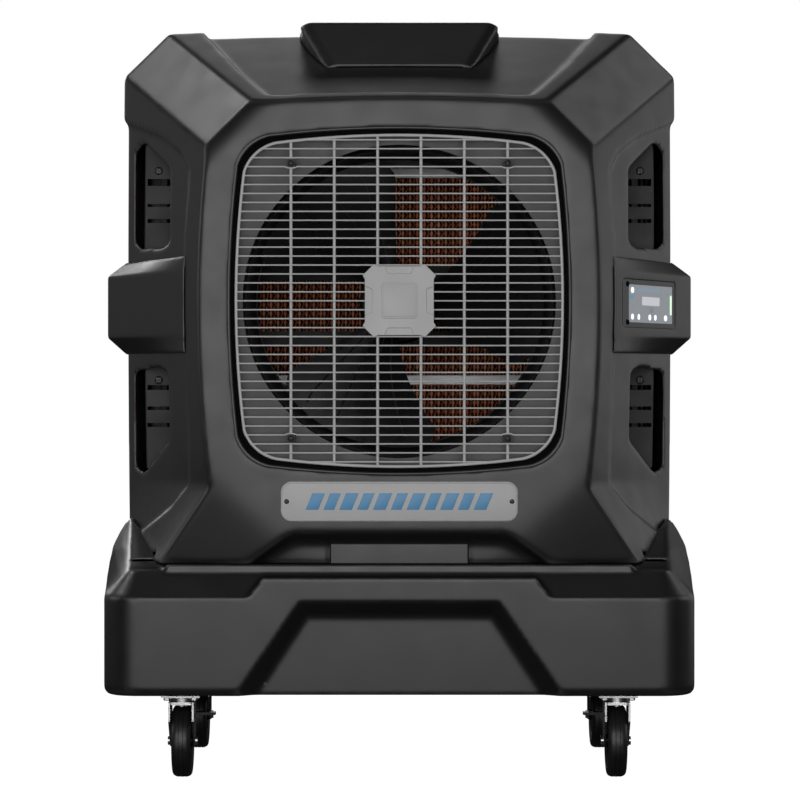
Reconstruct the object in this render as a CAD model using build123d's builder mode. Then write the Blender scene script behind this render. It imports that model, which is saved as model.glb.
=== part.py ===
from build123d import *
from math import cos, hypot, radians, sin
import os

os.makedirs("parts", exist_ok=True)

# Portable evaporative cooler. X is its width, Y its depth with the air outlet towards -Y, Z up.
# Depths are counted from the front face of the sump, and at() turns one into a Y coordinate.

# Driving dimensions, millimetres
HALF_DEPTH = 375.0
SUMP_BOTTOM = 177.0
SUMP_WALL_TOP = 380.0
SUMP_DECK = 435.0
SHOULDER_RUN = 45.0
SUMP_FRONT_HALF = 606.0
SUMP_MIDDLE_HALF = 638.0
SUMP_CORNER = 72.0
SUMP_WALL = 10.0
MIDDLE_DEPTH = 385.0

HOUSING_FRONT = 15.0
HOUSING_BACK = 735.0
HOUSING_BOTTOM = 447.0
HOUSING_SHELL = 24.0
FRONT_WALL = 12.0
PANEL_STEP = 10.0
TOP_STEP = 14.0

FAN_HEIGHT = 990.0
FAN_RADIUS = 306.0
ORIFICE_RADIUS = 324.0
SHROUD_DEPTH = 62.0
SHROUD_THICKNESS = 4.0
BLADE_COUNT = 3
FAN_PLANE = 150.0
SHAFT_RADIUS = 9.0
MOTOR_FRONT = 232.0
MOTOR_LENGTH = 128.0
MOTOR_RADIUS = 85.0

OPENING_HALF_WIDTH = 348.0
OPENING_HALF_HEIGHT = 353.0
GRILLE_HALF_WIDTH = 336.0
GRILLE_HALF_HEIGHT = 341.0
GRILLE_DEPTH = 20.0
WIRE_PITCH = 18.4
WIRE = 3.4
BAR_PITCH = 89.2
BAR_WIDTH = 6.6
GRILLE_SCREW_X = 223.0
GRILLE_SCREW_Z = 283.5

CASTER_X = 452.0
CASTER_DEPTHS = {"f": 90.0, "r": 635.0}
TRAIL = 28.0
WHEEL_RADIUS = 75.0
WHEEL_WIDTH = 40.0
HUB_RADIUS = 52.0
PLATE_THICKNESS = 6.0
PLATE_WIDTH = 80.0
PLATE_LENGTH = 100.0
RACE_RADIUS = 27.0
KING_PIN_RADIUS = 6.0
AXLE_RADIUS = 5.0
RUNNING_FIT = 0.05
GAP = 0.3
FORK_INNER = 22.5
FORK_OUTER = 26.5

MEDIA_FRONT = 613.0
MEDIA_BACK = HOUSING_BACK - FRONT_WALL
MEDIA_BOTTOM = 500.0
MEDIA_TOP = 1450.0
MEDIA_WIDTH = 340.0
MEDIA_PITCH = 345.0

INLET_X = -400.0
INLET_Z = 330.0
INLET_RADIUS = 13.3
DRAIN_X = 400.0
DRAIN_Z = 235.0

BACKWARD = (0, 1, 0)


def at(depth):
    """Y coordinate of a depth behind the front face of the sump."""
    return depth - HALF_DEPTH


def upright(depth):
    """Vertical sketch plane, seen from the front, at a depth."""
    return Plane.XZ.offset(-at(depth))


def level(height):
    return Plane.XY.offset(height)


def side(x):
    """Vertical sketch plane across the width; its axes are Y and Z."""
    return Plane.YZ.offset(x)


def outline(plane, points, radius=0.0):
    """Closed polygon with equal corner fillets."""
    with BuildSketch(plane) as sketch:
        with BuildLine():
            Polyline(*points, close=True)
        make_face()
        if radius:
            fillet(sketch.vertices(), radius)
    return sketch.sketch


def mirrored(points):
    """Right-hand points followed by their left-hand twins, as one loop."""
    return points + [(-x, z) for x, z in reversed(points)]


def in_plan(points):
    """Plan points given as (x, depth) turned into (x, y)."""
    return [(x, at(depth)) for x, depth in points]


def block(x0, x1, d0, d1, z0, z1):
    """Box between two depths, for adding or cutting with add()."""
    centre = ((x0 + x1) / 2, at((d0 + d1) / 2), (z0 + z1) / 2)
    return Pos(*centre) * Box(x1 - x0, d1 - d0, z1 - z0, mode=Mode.PRIVATE)


def rod(x, z, radius, d0, d1):
    """Round bar along the depth."""
    return Pos(x, at((d0 + d1) / 2), z) * Rot(90, 0, 0) * Cylinder(radius, d1 - d0, mode=Mode.PRIVATE)


def cross_rod(x0, x1, y, z, radius):
    """Round bar across the width."""
    return Pos((x0 + x1) / 2, y, z) * Rot(0, 90, 0) * Cylinder(radius, x1 - x0, mode=Mode.PRIVATE)


def post(x, y, z0, z1, radius):
    return Pos(x, y, (z0 + z1) / 2) * Cylinder(radius, z1 - z0, mode=Mode.PRIVATE)


def save(piece, name):
    piece.label = name
    export_step(piece, f"parts/{name}.step")


def squircle(plane, half_width, half_height):
    """Bowed rectangle of the air outlet: four bowed sides and four round corners."""
    end_x = half_width - 16.5
    end_z = half_height - 16.0
    reach_z = half_height - 76.0
    reach_x = half_width - 83.0
    corner = (half_width - 44.0, half_height - 35.0)
    with BuildSketch(plane) as sketch:
        with BuildLine():
            ThreePointArc((end_x, -reach_z), (half_width, 0), (end_x, reach_z))
            ThreePointArc((end_x, reach_z), corner, (reach_x, end_z))
            ThreePointArc((reach_x, end_z), (0, half_height), (-reach_x, end_z))
            ThreePointArc((-reach_x, end_z), (-corner[0], corner[1]), (-end_x, reach_z))
            ThreePointArc((-end_x, reach_z), (-half_width, 0), (-end_x, -reach_z))
            ThreePointArc((-end_x, -reach_z), (-corner[0], -corner[1]), (-reach_x, -end_z))
            ThreePointArc((-reach_x, -end_z), (0, -half_height), (reach_x, -end_z))
            ThreePointArc((reach_x, -end_z), (corner[0], -corner[1]), (end_x, -reach_z))
        make_face()
    return Pos(0, 0, FAN_HEIGHT) * sketch.sketch


# Housing form

def housing_section(depth, crown, shoulder_top, shoulder_side, waist, hip, foot, inset):
    """Outline of the housing at a depth, drawn in by inset; points are (half width, height)."""
    top = (0, crown - inset)
    top_end = (shoulder_top[0] - 0.4 * inset, shoulder_top[1] - inset)
    side_start = (shoulder_side[0] - inset, shoulder_side[1] - 0.4 * inset)
    side_middle = (waist[0] - inset, waist[1])
    side_end = (hip[0] - inset, hip[1] + 0.3 * inset)
    floor = HOUSING_BOTTOM + inset / 2
    ground = (foot - 1.2 * inset, floor)
    with BuildSketch(upright(depth)) as sketch:
        with BuildLine():
            ThreePointArc((-top_end[0], top_end[1]), top, top_end)
            Line(top_end, side_start)
            ThreePointArc(side_start, side_middle, side_end)
            Line(side_end, ground)
            Line(ground, (-ground[0], floor))
            Line((-ground[0], floor), (-side_end[0], side_end[1]))
            ThreePointArc((-side_end[0], side_end[1]), (-side_middle[0], side_middle[1]),
                          (-side_start[0], side_start[1]))
            Line((-side_start[0], side_start[1]), (-top_end[0], top_end[1]))
        make_face()
    return sketch.sketch


def front_section(depth, inset):
    return housing_section(depth, 1409, (300, 1398), (395, 1304), (413.6, 960), (389, 607), 487, inset)


def middle_section(depth, inset):
    return housing_section(depth, 1592, (501, 1582), (598, 1487), (600, 1047), (598, 607), 598, inset)


def housing_form(inset, front, back):
    """The tapered hood and the straight rear part as one solid, drawn in by inset."""
    with BuildPart() as form:
        loft([front_section(front, inset), middle_section(MIDDLE_DEPTH, inset)], ruled=True)
        extrude(middle_section(MIDDLE_DEPTH, inset), amount=back - MIDDLE_DEPTH, dir=BACKWARD)
    return form.part


hood = housing_form(0, HOUSING_FRONT, HOUSING_BACK)
cavity = housing_form(HOUSING_SHELL, HOUSING_FRONT + FRONT_WALL, HOUSING_BACK - FRONT_WALL)

PANEL_BAND = [(700, 1395), (600, 1392), (505, 1345), (455, 1303), (434, 1262), (446, 1130),
              (447, 971), (436, 612), (478, 560), (556, 501), (700, 501)]
TOP_FIELD = [(265, 48), (278, 66), (336, 179), (422, 385), (422, 760)]
UPPER_WINDOW = [(568, 1322), (546, 1340), (483, 1275), (483, 1120), (496, 1110), (556, 1112), (571, 1130)]
LOWER_WINDOW = [(570, 846), (510, 857), (488, 844), (485.5, 702), (548, 629), (568, 642)]
ARCH_OUTER = [(308, 440), (308, 450), (266, 482), (235, 506), (216, 514)]
ARCH_INNER = [(284, 440), (284, 450), (250, 474), (222, 489), (204, 492)]

with BuildPart() as panel_cutter:
    extrude(outline(upright(-20), PANEL_BAND), amount=HOUSING_BACK, dir=BACKWARD)
    extrude(outline(upright(-20), [(-x, z) for x, z in reversed(PANEL_BAND)]),
            amount=HOUSING_BACK, dir=BACKWARD)
    add(housing_form(PANEL_STEP, HOUSING_FRONT, HOUSING_BACK + 20), mode=Mode.SUBTRACT)

with BuildPart() as top_cutter:
    extrude(outline(level(1300), mirrored(in_plan(TOP_FIELD))), amount=400)
    add(housing_form(TOP_STEP, HOUSING_FRONT, HOUSING_BACK + 40), mode=Mode.SUBTRACT)

with BuildPart() as stepped_hood:
    add(hood)
    add(panel_cutter.part, mode=Mode.SUBTRACT)
    add(top_cutter.part, mode=Mode.SUBTRACT)

HATCH_HALF = 143.0
HATCH_SLOT = 7.0
ARCH_FLOOR = 45.0
ARCH_BLOCK_BACK = 57.0
REAR_OPENING_HALF = 510.0
REAR_OPENING_BOTTOM = 530.0
REAR_OPENING_TOP = 1430.0
NAMEPLATE_HEIGHT = 577.5
NAMEPLATE_SCREW_X = 231.4
GUARD_SCREWS = [(x, z) for x in (-517, 517) for z in (560, 820, 1140, 1400)]
GLAND_X = 560.0
GLAND_Z = 500.0

with BuildPart() as housing:
    add(stepped_hood.part)
    add(cavity, mode=Mode.SUBTRACT)
    add(block(-330, 330, HOUSING_FRONT + 5, ARCH_BLOCK_BACK, HOUSING_BOTTOM, 546))
    extrude(squircle(upright(0), OPENING_HALF_WIDTH, OPENING_HALF_HEIGHT),
            amount=80, dir=BACKWARD, mode=Mode.SUBTRACT)
    loft([outline(upright(HOUSING_FRONT - 1), mirrored(ARCH_OUTER)),
          outline(upright(ARCH_FLOOR), mirrored(ARCH_INNER))], ruled=True, mode=Mode.SUBTRACT)
    add(block(-HATCH_HALF - HATCH_SLOT, HATCH_HALF + HATCH_SLOT, ARCH_FLOOR - 2, ARCH_FLOOR + 4,
              HOUSING_BOTTOM - 5, 492), mode=Mode.SUBTRACT)
    for window in (UPPER_WINDOW, LOWER_WINDOW):
        for sign in (1, -1):
            shape = [(sign * x, z) for x, z in window]
            extrude(outline(upright(-10), shape, 9), amount=430, dir=BACKWARD, mode=Mode.SUBTRACT)
    extrude(outline(upright(HOUSING_BACK - 30),
                    [(-REAR_OPENING_HALF, REAR_OPENING_BOTTOM), (REAR_OPENING_HALF, REAR_OPENING_BOTTOM),
                     (REAR_OPENING_HALF, REAR_OPENING_TOP), (-REAR_OPENING_HALF, REAR_OPENING_TOP)], 30),
            amount=60, dir=BACKWARD, mode=Mode.SUBTRACT)
    add(block(-560, 560, 100, 690, HOUSING_BOTTOM - 5, HOUSING_BOTTOM + 20), mode=Mode.SUBTRACT)
    for x in (-NAMEPLATE_SCREW_X, NAMEPLATE_SCREW_X):
        add(rod(x, NAMEPLATE_HEIGHT, 2, 10, 24), mode=Mode.SUBTRACT)
    for x, z in GUARD_SCREWS:
        add(rod(x, z, 2.5, 730, 740), mode=Mode.SUBTRACT)
    add(rod(GLAND_X, GLAND_Z, 6, 720, 740), mode=Mode.SUBTRACT)
save(housing.part, "housing")

# Sump

SUMP_PLAN = [(SUMP_FRONT_HALF, 0), (SUMP_MIDDLE_HALF, MIDDLE_DEPTH), (SUMP_FRONT_HALF, 2 * HALF_DEPTH)]
RECESS_OUTER = [(206, 372), (343, 172)]
RECESS_INNER = [(190, 341), (301, 172)]
WING_FRONT = [(500, 375), (606, 380), (592, 400), (577, 420), (563, 436), (554, 440), (500, 440)]
WING_MIDDLE = [(560, 375), (638, 380), (635, 405), (624, 471), (611, 503), (592, 540), (560, 540)]
WING_DEPTH = 68.0
TANK_BACK = 702.0
POCKET_FLOOR = 712.0
DOOR_HINGE_Z = 262.5
SKIRT_PLAN = [(484, 40), (596, MIDDLE_DEPTH), (596, 715)]
BOLT_SPOTS = [(x, y) for x in (-28, 28) for y in (-38, 38)]
CASTER_SPOTS = {name: (sign * CASTER_X, at(CASTER_DEPTHS[end]))
                for end in "fr" for name, sign in ((end + "l", -1), (end + "r", 1))}


def sump_plan(height, inset):
    """Rounded plan of the sump, drawn in by inset."""
    shift = {0: inset, MIDDLE_DEPTH: 0, 2 * HALF_DEPTH: -inset}
    points = mirrored([(x - inset, at(depth) + shift[depth]) for x, depth in SUMP_PLAN])
    with BuildSketch(level(height)) as sketch:
        with BuildLine():
            Polyline(*points, close=True)
        make_face()
        corners = [v for v in sketch.vertices() if abs(v.Y) > HALF_DEPTH / 2]
        fillet(corners, SUMP_CORNER - inset)
    return sketch.sketch


def wing(sign):
    """Raised side of the sump that hugs the foot of the housing."""
    front = [(sign * x, z) for x, z in WING_FRONT]
    middle = [(sign * x, z) for x, z in WING_MIDDLE]
    with BuildPart() as piece:
        loft([outline(upright(WING_DEPTH), front), outline(upright(MIDDLE_DEPTH), middle)], ruled=True)
        loft([outline(upright(MIDDLE_DEPTH), middle),
              outline(upright(2 * HALF_DEPTH - WING_DEPTH), front)], ruled=True)
    return piece.part


with BuildPart() as sump:
    extrude(sump_plan(SUMP_BOTTOM, 0), amount=SUMP_WALL_TOP - SUMP_BOTTOM)
    fillet(sump.faces().sort_by(Axis.Z)[0].edges(), 16)
    loft([sump_plan(SUMP_WALL_TOP, 0), sump_plan(SUMP_DECK, SHOULDER_RUN)], ruled=True)
    extrude(outline(level(SUMP_DECK), mirrored(in_plan(SKIRT_PLAN))), amount=HOUSING_BOTTOM - SUMP_DECK)
    extrude(outline(upright(0), mirrored([(281, 421), (316, SUMP_WALL_TOP - 5)])), amount=62, dir=BACKWARD)
    for sign in (1, -1):
        add(wing(sign))
    add(hood, mode=Mode.SUBTRACT)
    extrude(sump_plan(SUMP_BOTTOM + SUMP_WALL, 48), amount=SUMP_DECK - SUMP_BOTTOM - 2 * SUMP_WALL,
            mode=Mode.SUBTRACT)
    add(block(-560, 560, 100, 690, SUMP_DECK - 30, HOUSING_BOTTOM + 5), mode=Mode.SUBTRACT)
    loft([outline(upright(-1), mirrored(RECESS_OUTER)), outline(upright(35), mirrored(RECESS_INNER))],
         ruled=True, mode=Mode.SUBTRACT)
    for cx, cy in CASTER_SPOTS.values():
        for dx, dy in BOLT_SPOTS:
            add(post(cx + dx, cy + dy, SUMP_BOTTOM - 1, SUMP_BOTTOM + 8, 4), mode=Mode.SUBTRACT)
    # inlet, drain and fill openings in the rear wall
    add(block(INLET_X - 45, INLET_X + 45, POCKET_FLOOR, 760, INLET_Z - 40, INLET_Z + 40),
        mode=Mode.SUBTRACT)
    add(rod(INLET_X, INLET_Z, 9, TANK_BACK - 5, 730), mode=Mode.SUBTRACT)
    add(block(DRAIN_X - 50, DRAIN_X + 75, POCKET_FLOOR, 760, DRAIN_Z - 32, DRAIN_Z + 42),
        mode=Mode.SUBTRACT)
    add(rod(DRAIN_X, DRAIN_Z, 8, TANK_BACK - 5, 730), mode=Mode.SUBTRACT)
    add(block(-110.5, 110.5, 742, 760, 257, 371), mode=Mode.SUBTRACT)
    add(block(-98, 98, TANK_BACK - 5, 745, 278, 360), mode=Mode.SUBTRACT)
    for x in (-105, 105):
        add(cross_rod(x - 6, x + 6, at(746), DOOR_HINGE_Z, 1.6))
save(sump.part, "sump")

# Top cover: a wedge that grows out of the sloping hood

COVER_TOP = 1596.0
COVER_SHELL = 7.0
COVER_SECTIONS = [(205, 155, 1494, 153, 1474), (290, 213, COVER_TOP, 187, 1510), (385, 213, COVER_TOP, 229, 1560),
                  (560, 213, COVER_TOP, 229, 1560), (600, 216, 1580, 229, 1560)]


def cover_outline(top_half, top, low_half, low):
    """Half of the cover's section, with a chamfer along its top edge."""
    return [(low_half, low), (top_half, top - 9), (top_half - 19, top)]


with BuildPart() as top_cover:
    loft([outline(upright(depth), mirrored(cover_outline(*section))) for depth, *section in COVER_SECTIONS],
         ruled=True)
    add(stepped_hood.part, mode=Mode.SUBTRACT)
    add(block(-150, 150, 330, 540, 1570, COVER_TOP - COVER_SHELL), mode=Mode.SUBTRACT)
save(top_cover.part, "top_cover")

# Side pods on the flanks; the right one carries the controls

POD_FACE = [(447, 75), (635, 395), (635, 520), (592, 600), (560, 600), (560, 400), (425, 90)]
POD_FOOT = [(446, 76), (593, 390), (593, 525), (584, 590), (560, 590), (560, 400), (425, 90)]
POD_HEIGHTS = (884.0, 921.0, 1054.5, 1085.0)
FACE_REACH = (POD_FACE[1][0] - POD_FACE[0][0], POD_FACE[1][1] - POD_FACE[0][1])
FACE_RUN = (FACE_REACH[0] / hypot(*FACE_REACH), FACE_REACH[1] / hypot(*FACE_REACH))
CONTROL_HEIGHT = 989.0
BEZEL_CENTRE = 164.0
BEZEL_SIZE = (252.0, 100.0)
SCREEN_CENTRE = 174.0
SCREEN_SIZE = (212.0, 80.0)
SEAT_GAP = 0.4


def pod_face_plane(run, depth_below=0.0):
    """Plane on the slanted face of the right pod, run millimetres along it from its front edge."""
    x = POD_FACE[0][0] + FACE_RUN[0] * run - FACE_RUN[1] * depth_below
    y = at(POD_FACE[0][1] + FACE_RUN[1] * run + FACE_RUN[0] * depth_below)
    return Plane(origin=(x, y, CONTROL_HEIGHT), x_dir=(FACE_RUN[0], FACE_RUN[1], 0),
                 z_dir=(FACE_RUN[1], -FACE_RUN[0], 0))


def rounded_plate(plane, width, height, radius):
    with BuildSketch(plane) as sketch:
        RectangleRounded(width, height, radius)
    return sketch.sketch


def pod_form(sign):
    face = [(sign * x, y) for x, y in in_plan(POD_FACE)]
    foot = [(sign * x, y) for x, y in in_plan(POD_FOOT)]
    with BuildPart() as form:
        extrude(outline(level(POD_HEIGHTS[1]), face), amount=POD_HEIGHTS[2] - POD_HEIGHTS[1])
        loft([outline(level(POD_HEIGHTS[2]), face), outline(level(POD_HEIGHTS[3]), foot)], ruled=True)
        loft([outline(level(POD_HEIGHTS[0]), foot), outline(level(POD_HEIGHTS[1]), face)], ruled=True)
        add(stepped_hood.part, mode=Mode.SUBTRACT)
    return form.part


with BuildPart() as left_pod:
    add(pod_form(-1))
save(left_pod.part, "left_pod")

with BuildPart() as right_pod:
    add(pod_form(1))
    extrude(rounded_plate(pod_face_plane(BEZEL_CENTRE, -2), *BEZEL_SIZE, 8), amount=-8, mode=Mode.SUBTRACT)
save(right_pod.part, "right_pod")

with BuildPart() as control_bezel:
    extrude(rounded_plate(pod_face_plane(BEZEL_CENTRE, 6), BEZEL_SIZE[0] - SEAT_GAP,
                          BEZEL_SIZE[1] - SEAT_GAP, 7.8), amount=5)
    extrude(rounded_plate(pod_face_plane(SCREEN_CENTRE, 4), *SCREEN_SIZE, 3), amount=6, mode=Mode.SUBTRACT)
save(control_bezel.part, "control_bezel")

with BuildPart() as touchscreen:
    extrude(rounded_plate(pod_face_plane(SCREEN_CENTRE, 4), SCREEN_SIZE[0] - SEAT_GAP,
                          SCREEN_SIZE[1] - SEAT_GAP, 2.8), amount=2.4)
save(touchscreen.part, "touchscreen")

# Vent inserts behind the side windows

VENT_DEPTH = 330.0
VENT_THICKNESS = 5.0
VENT_INNER = 466.0
VENT_SLOTS = [(1247.5, 1262.6), (1202.2, 1208.7), (1167.7, 1176.3),
              (807.6, 818.3), (764.4, 772), (727.8, 736.4)]
VENT_SCREWS = [(519, 1280), (519, 829)]


def vent_insert(sign):
    """Slotted plate across the cavity wall, behind both windows of a flank."""
    with BuildPart() as piece:
        add(block(VENT_INNER, 600, VENT_DEPTH, VENT_DEPTH + VENT_THICKNESS, 640, 1340))
        add(cavity, mode=Mode.INTERSECT)
        for low, high in VENT_SLOTS:
            add(block(480, 543, VENT_DEPTH - 5, VENT_DEPTH + 20, low, high), mode=Mode.SUBTRACT)
        for x, z in VENT_SCREWS:
            add(rod(x, z, 2, VENT_DEPTH - 5, VENT_DEPTH + 20), mode=Mode.SUBTRACT)
    return piece.part if sign > 0 else piece.part.mirror(Plane.YZ)


for name, sign in (("left", -1), ("right", 1)):
    save(vent_insert(sign), f"{name}_vent_insert")

with BuildPart() as vent_screws:
    for x, z in VENT_SCREWS:
        for sign in (-1, 1):
            add(rod(sign * x, z, 9, VENT_DEPTH - 3, VENT_DEPTH))
            add(rod(sign * x, z, 2, VENT_DEPTH, VENT_DEPTH + 12))
save(vent_screws.part, "vent_screws")

# Air outlet: shroud, grille, badge and screws

STANDOFF_SPOTS = [(sx * GRILLE_SCREW_X, FAN_HEIGHT + sz * GRILLE_SCREW_Z)
                  for sx in (-1, 1) for sz in (-1, 1)]
SHROUD_HALF = (358.0, 363.0)
INNER_FRONT = HOUSING_FRONT + FRONT_WALL
ORIFICE_LENGTH = 128.0
DUCT_WALL = 5.0


def squircle_ring(front, back, outer, inner):
    """Ring between two air outlet outlines."""
    with BuildPart() as ring:
        extrude(squircle(upright(front), *outer), amount=back - front, dir=BACKWARD)
        extrude(squircle(upright(front), *inner), amount=back - front, dir=BACKWARD, mode=Mode.SUBTRACT)
    return ring.part


# Rim that carries the shroud plate behind the outlet
with BuildPart() as shroud_rim:
    add(squircle_ring(INNER_FRONT, SHROUD_DEPTH, SHROUD_HALF, (354, 359)))
    add(squircle_ring(INNER_FRONT, INNER_FRONT + 4, (374, 379), (354, 359)))
save(shroud_rim.part, "shroud_rim")

with BuildPart() as fan_shroud:
    extrude(squircle(upright(SHROUD_DEPTH), *SHROUD_HALF), amount=SHROUD_THICKNESS, dir=BACKWARD)
    add(rod(0, FAN_HEIGHT, ORIFICE_RADIUS, SHROUD_DEPTH - 5, SHROUD_DEPTH + 20), mode=Mode.SUBTRACT)
    for x, z in STANDOFF_SPOTS:
        add(rod(x, z, 9, GRILLE_DEPTH + 6, SHROUD_DEPTH + 4))
        add(rod(x, z, 2.5, GRILLE_DEPTH, GRILLE_DEPTH + 24), mode=Mode.SUBTRACT)
save(fan_shroud.part, "fan_shroud")

# Round duct behind the shroud plate, which the fan turns in
with BuildPart() as orifice_ring:
    duct_front = SHROUD_DEPTH + SHROUD_THICKNESS
    add(rod(0, FAN_HEIGHT, ORIFICE_RADIUS + DUCT_WALL, duct_front, SHROUD_DEPTH + ORIFICE_LENGTH))
    add(rod(0, FAN_HEIGHT, ORIFICE_RADIUS, duct_front - 5, SHROUD_DEPTH + ORIFICE_LENGTH + 5),
        mode=Mode.SUBTRACT)
save(orifice_ring.part, "orifice_ring")

WIRE_ROWS = int(GRILLE_HALF_HEIGHT / WIRE_PITCH)

with BuildPart() as front_grille:
    for row in range(-WIRE_ROWS, WIRE_ROWS + 1):
        z = FAN_HEIGHT + row * WIRE_PITCH
        add(block(-340, 340, GRILLE_DEPTH, GRILLE_DEPTH + WIRE, z - WIRE / 2, z + WIRE / 2))
    for column in range(6):
        x = (column - 2.5) * BAR_PITCH
        add(block(x - BAR_WIDTH / 2, x + BAR_WIDTH / 2, GRILLE_DEPTH + WIRE - 1, GRILLE_DEPTH + 6,
                  FAN_HEIGHT - 345, FAN_HEIGHT + 345))
    for x, z in STANDOFF_SPOTS:
        add(rod(x, z, 10, GRILLE_DEPTH, GRILLE_DEPTH + 6))
        add(rod(x, z, 2.6, GRILLE_DEPTH - 5, GRILLE_DEPTH + 10), mode=Mode.SUBTRACT)
    extrude(squircle(upright(GRILLE_DEPTH - 5), GRILLE_HALF_WIDTH, GRILLE_HALF_HEIGHT),
            amount=20, dir=BACKWARD, mode=Mode.INTERSECT)
    add(squircle_ring(GRILLE_DEPTH, GRILLE_DEPTH + 6, (GRILLE_HALF_WIDTH + 3, GRILLE_HALF_HEIGHT + 3),
                      (GRILLE_HALF_WIDTH - 3, GRILLE_HALF_HEIGHT - 3)))
save(front_grille.part, "front_grille")

with BuildPart() as grille_screws:
    for x, z in STANDOFF_SPOTS:
        add(rod(x, z, 7, GRILLE_DEPTH - 3, GRILLE_DEPTH))
        add(rod(x, z, 2.5, GRILLE_DEPTH, GRILLE_DEPTH + 22))
save(grille_screws.part, "grille_screws")

BADGE_DEPTH = 12.0
BADGE_EDGE = [(71, 44), (75.5, 52), (52, 75.5), (44, 71)]
BADGE_SCALLOP = [(-33, 80), (33, 80), (24, 56), (-24, 56)]

with BuildPart() as grille_badge:
    right = [(x, -z) for x, z in reversed(BADGE_EDGE)] + BADGE_EDGE
    plate_outline = [(x, z + FAN_HEIGHT) for x, z in mirrored(right)]
    extrude(outline(upright(BADGE_DEPTH), plate_outline), amount=GRILLE_DEPTH - BADGE_DEPTH, dir=BACKWARD)
    for turn in range(4):
        c, s = cos(radians(90 * turn)), sin(radians(90 * turn))
        scallop = [(c * x - s * z, s * x + c * z + FAN_HEIGHT) for x, z in BADGE_SCALLOP]
        extrude(outline(upright(BADGE_DEPTH - 1), scallop, 3), amount=3, dir=BACKWARD, mode=Mode.SUBTRACT)
save(grille_badge.part, "grille_badge")

with BuildPart() as nameplate:
    extrude(Pos(0, 0, NAMEPLATE_HEIGHT) * rounded_plate(upright(HOUSING_FRONT - 4), 487, 82, 22),
            amount=4, dir=BACKWARD)
    for x in (-NAMEPLATE_SCREW_X, NAMEPLATE_SCREW_X):
        add(rod(x, NAMEPLATE_HEIGHT, 2, 5, 20), mode=Mode.SUBTRACT)
save(nameplate.part, "nameplate")

with BuildPart() as nameplate_screws:
    for x in (-NAMEPLATE_SCREW_X, NAMEPLATE_SCREW_X):
        add(rod(x, NAMEPLATE_HEIGHT, 5, 8.5, 11))
        add(rod(x, NAMEPLATE_HEIGHT, 2, 11, 23))
save(nameplate_screws.part, "nameplate_screws")

with BuildPart() as lower_hatch:
    add(block(-HATCH_HALF, HATCH_HALF, ARCH_FLOOR - 2, ARCH_FLOOR + 4, HOUSING_BOTTOM, 490))
save(lower_hatch.part, "lower_hatch")

# Fan, shaft, motor and its straps

def blade_section(radius, chord, pitch):
    with BuildSketch(side(radius)) as sketch:
        with Locations((at(FAN_PLANE), FAN_HEIGHT)):
            Rectangle(5, chord, rotation=pitch)
    return sketch.sketch


def about_fan_axis(piece, angle):
    return Pos(0, 0, FAN_HEIGHT) * Rot(0, -angle, 0) * Pos(0, 0, -FAN_HEIGHT) * piece


HUB_OUTER = 48.0
SHAFT_END = 300.0

with BuildPart() as blade:
    loft([blade_section(30, 95, 38), blade_section(165, 270, 26), blade_section(325, 400, 18)])
    add(rod(0, FAN_HEIGHT, FAN_RADIUS, 50, 300), mode=Mode.INTERSECT)
    add(rod(0, FAN_HEIGHT, HUB_OUTER, 40, 310), mode=Mode.SUBTRACT)

with BuildPart() as fan_blades:
    for index in range(BLADE_COUNT):
        add(about_fan_axis(blade.part, index * 360 / BLADE_COUNT))
save(fan_blades.part, "fan_blades")

with BuildPart() as fan_hub:
    add(rod(0, FAN_HEIGHT, HUB_OUTER, 106, 196))
    add(rod(0, FAN_HEIGHT, SHAFT_RADIUS, 120, 200), mode=Mode.SUBTRACT)
save(fan_hub.part, "fan_hub")

with BuildPart() as motor_shaft:
    add(rod(0, FAN_HEIGHT, SHAFT_RADIUS, 120, SHAFT_END))
save(motor_shaft.part, "motor_shaft")

MOTOR_BACK = MOTOR_FRONT + MOTOR_LENGTH
STRAP_OFFSET = 70.0
MOTOR_BOLTS = [(x, FAN_HEIGHT + z) for x in (-38, 38) for z in (-STRAP_OFFSET, STRAP_OFFSET)]

with BuildPart() as motor:
    add(rod(0, FAN_HEIGHT, MOTOR_RADIUS, MOTOR_FRONT, MOTOR_BACK))
    fillet(motor.edges().filter_by(GeomType.CIRCLE), 8)
    add(rod(0, FAN_HEIGHT, 24, MOTOR_FRONT - 10, MOTOR_FRONT + 1))
    add(rod(0, FAN_HEIGHT, SHAFT_RADIUS + RUNNING_FIT, MOTOR_FRONT - 20, SHAFT_END + 2), mode=Mode.SUBTRACT)
    for x, z in MOTOR_BOLTS:
        add(rod(x, z, 3.5, MOTOR_BACK - 16, MOTOR_BACK + 5), mode=Mode.SUBTRACT)
save(motor.part, "motor")

STRAP_X = 356.0

with BuildPart() as motor_straps:
    for level_z in (FAN_HEIGHT - STRAP_OFFSET, FAN_HEIGHT + STRAP_OFFSET):
        add(block(-STRAP_X, STRAP_X, MOTOR_BACK, MOTOR_BACK + 8, level_z - 15, level_z + 15))
        for sign in (-1, 1):
            x0, x1 = sorted((sign * STRAP_X, sign * (STRAP_X - 8)))
            add(block(x0, x1, SHROUD_DEPTH + SHROUD_THICKNESS, MOTOR_BACK + 8, level_z - 15, level_z + 15))
    for x, z in MOTOR_BOLTS:
        add(rod(x, z, 3.5, MOTOR_BACK - 5, MOTOR_BACK + 20), mode=Mode.SUBTRACT)
save(motor_straps.part, "motor_straps")

with BuildPart() as motor_bolts:
    for x, z in MOTOR_BOLTS:
        add(rod(x, z, 3.5, MOTOR_BACK - 14, MOTOR_BACK + 8))
        add(rod(x, z, 6.5, MOTOR_BACK + 8, MOTOR_BACK + 13))
save(motor_bolts.part, "motor_bolts")

# Wet side: pads in their frame, rails, header, riser, pump

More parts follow.
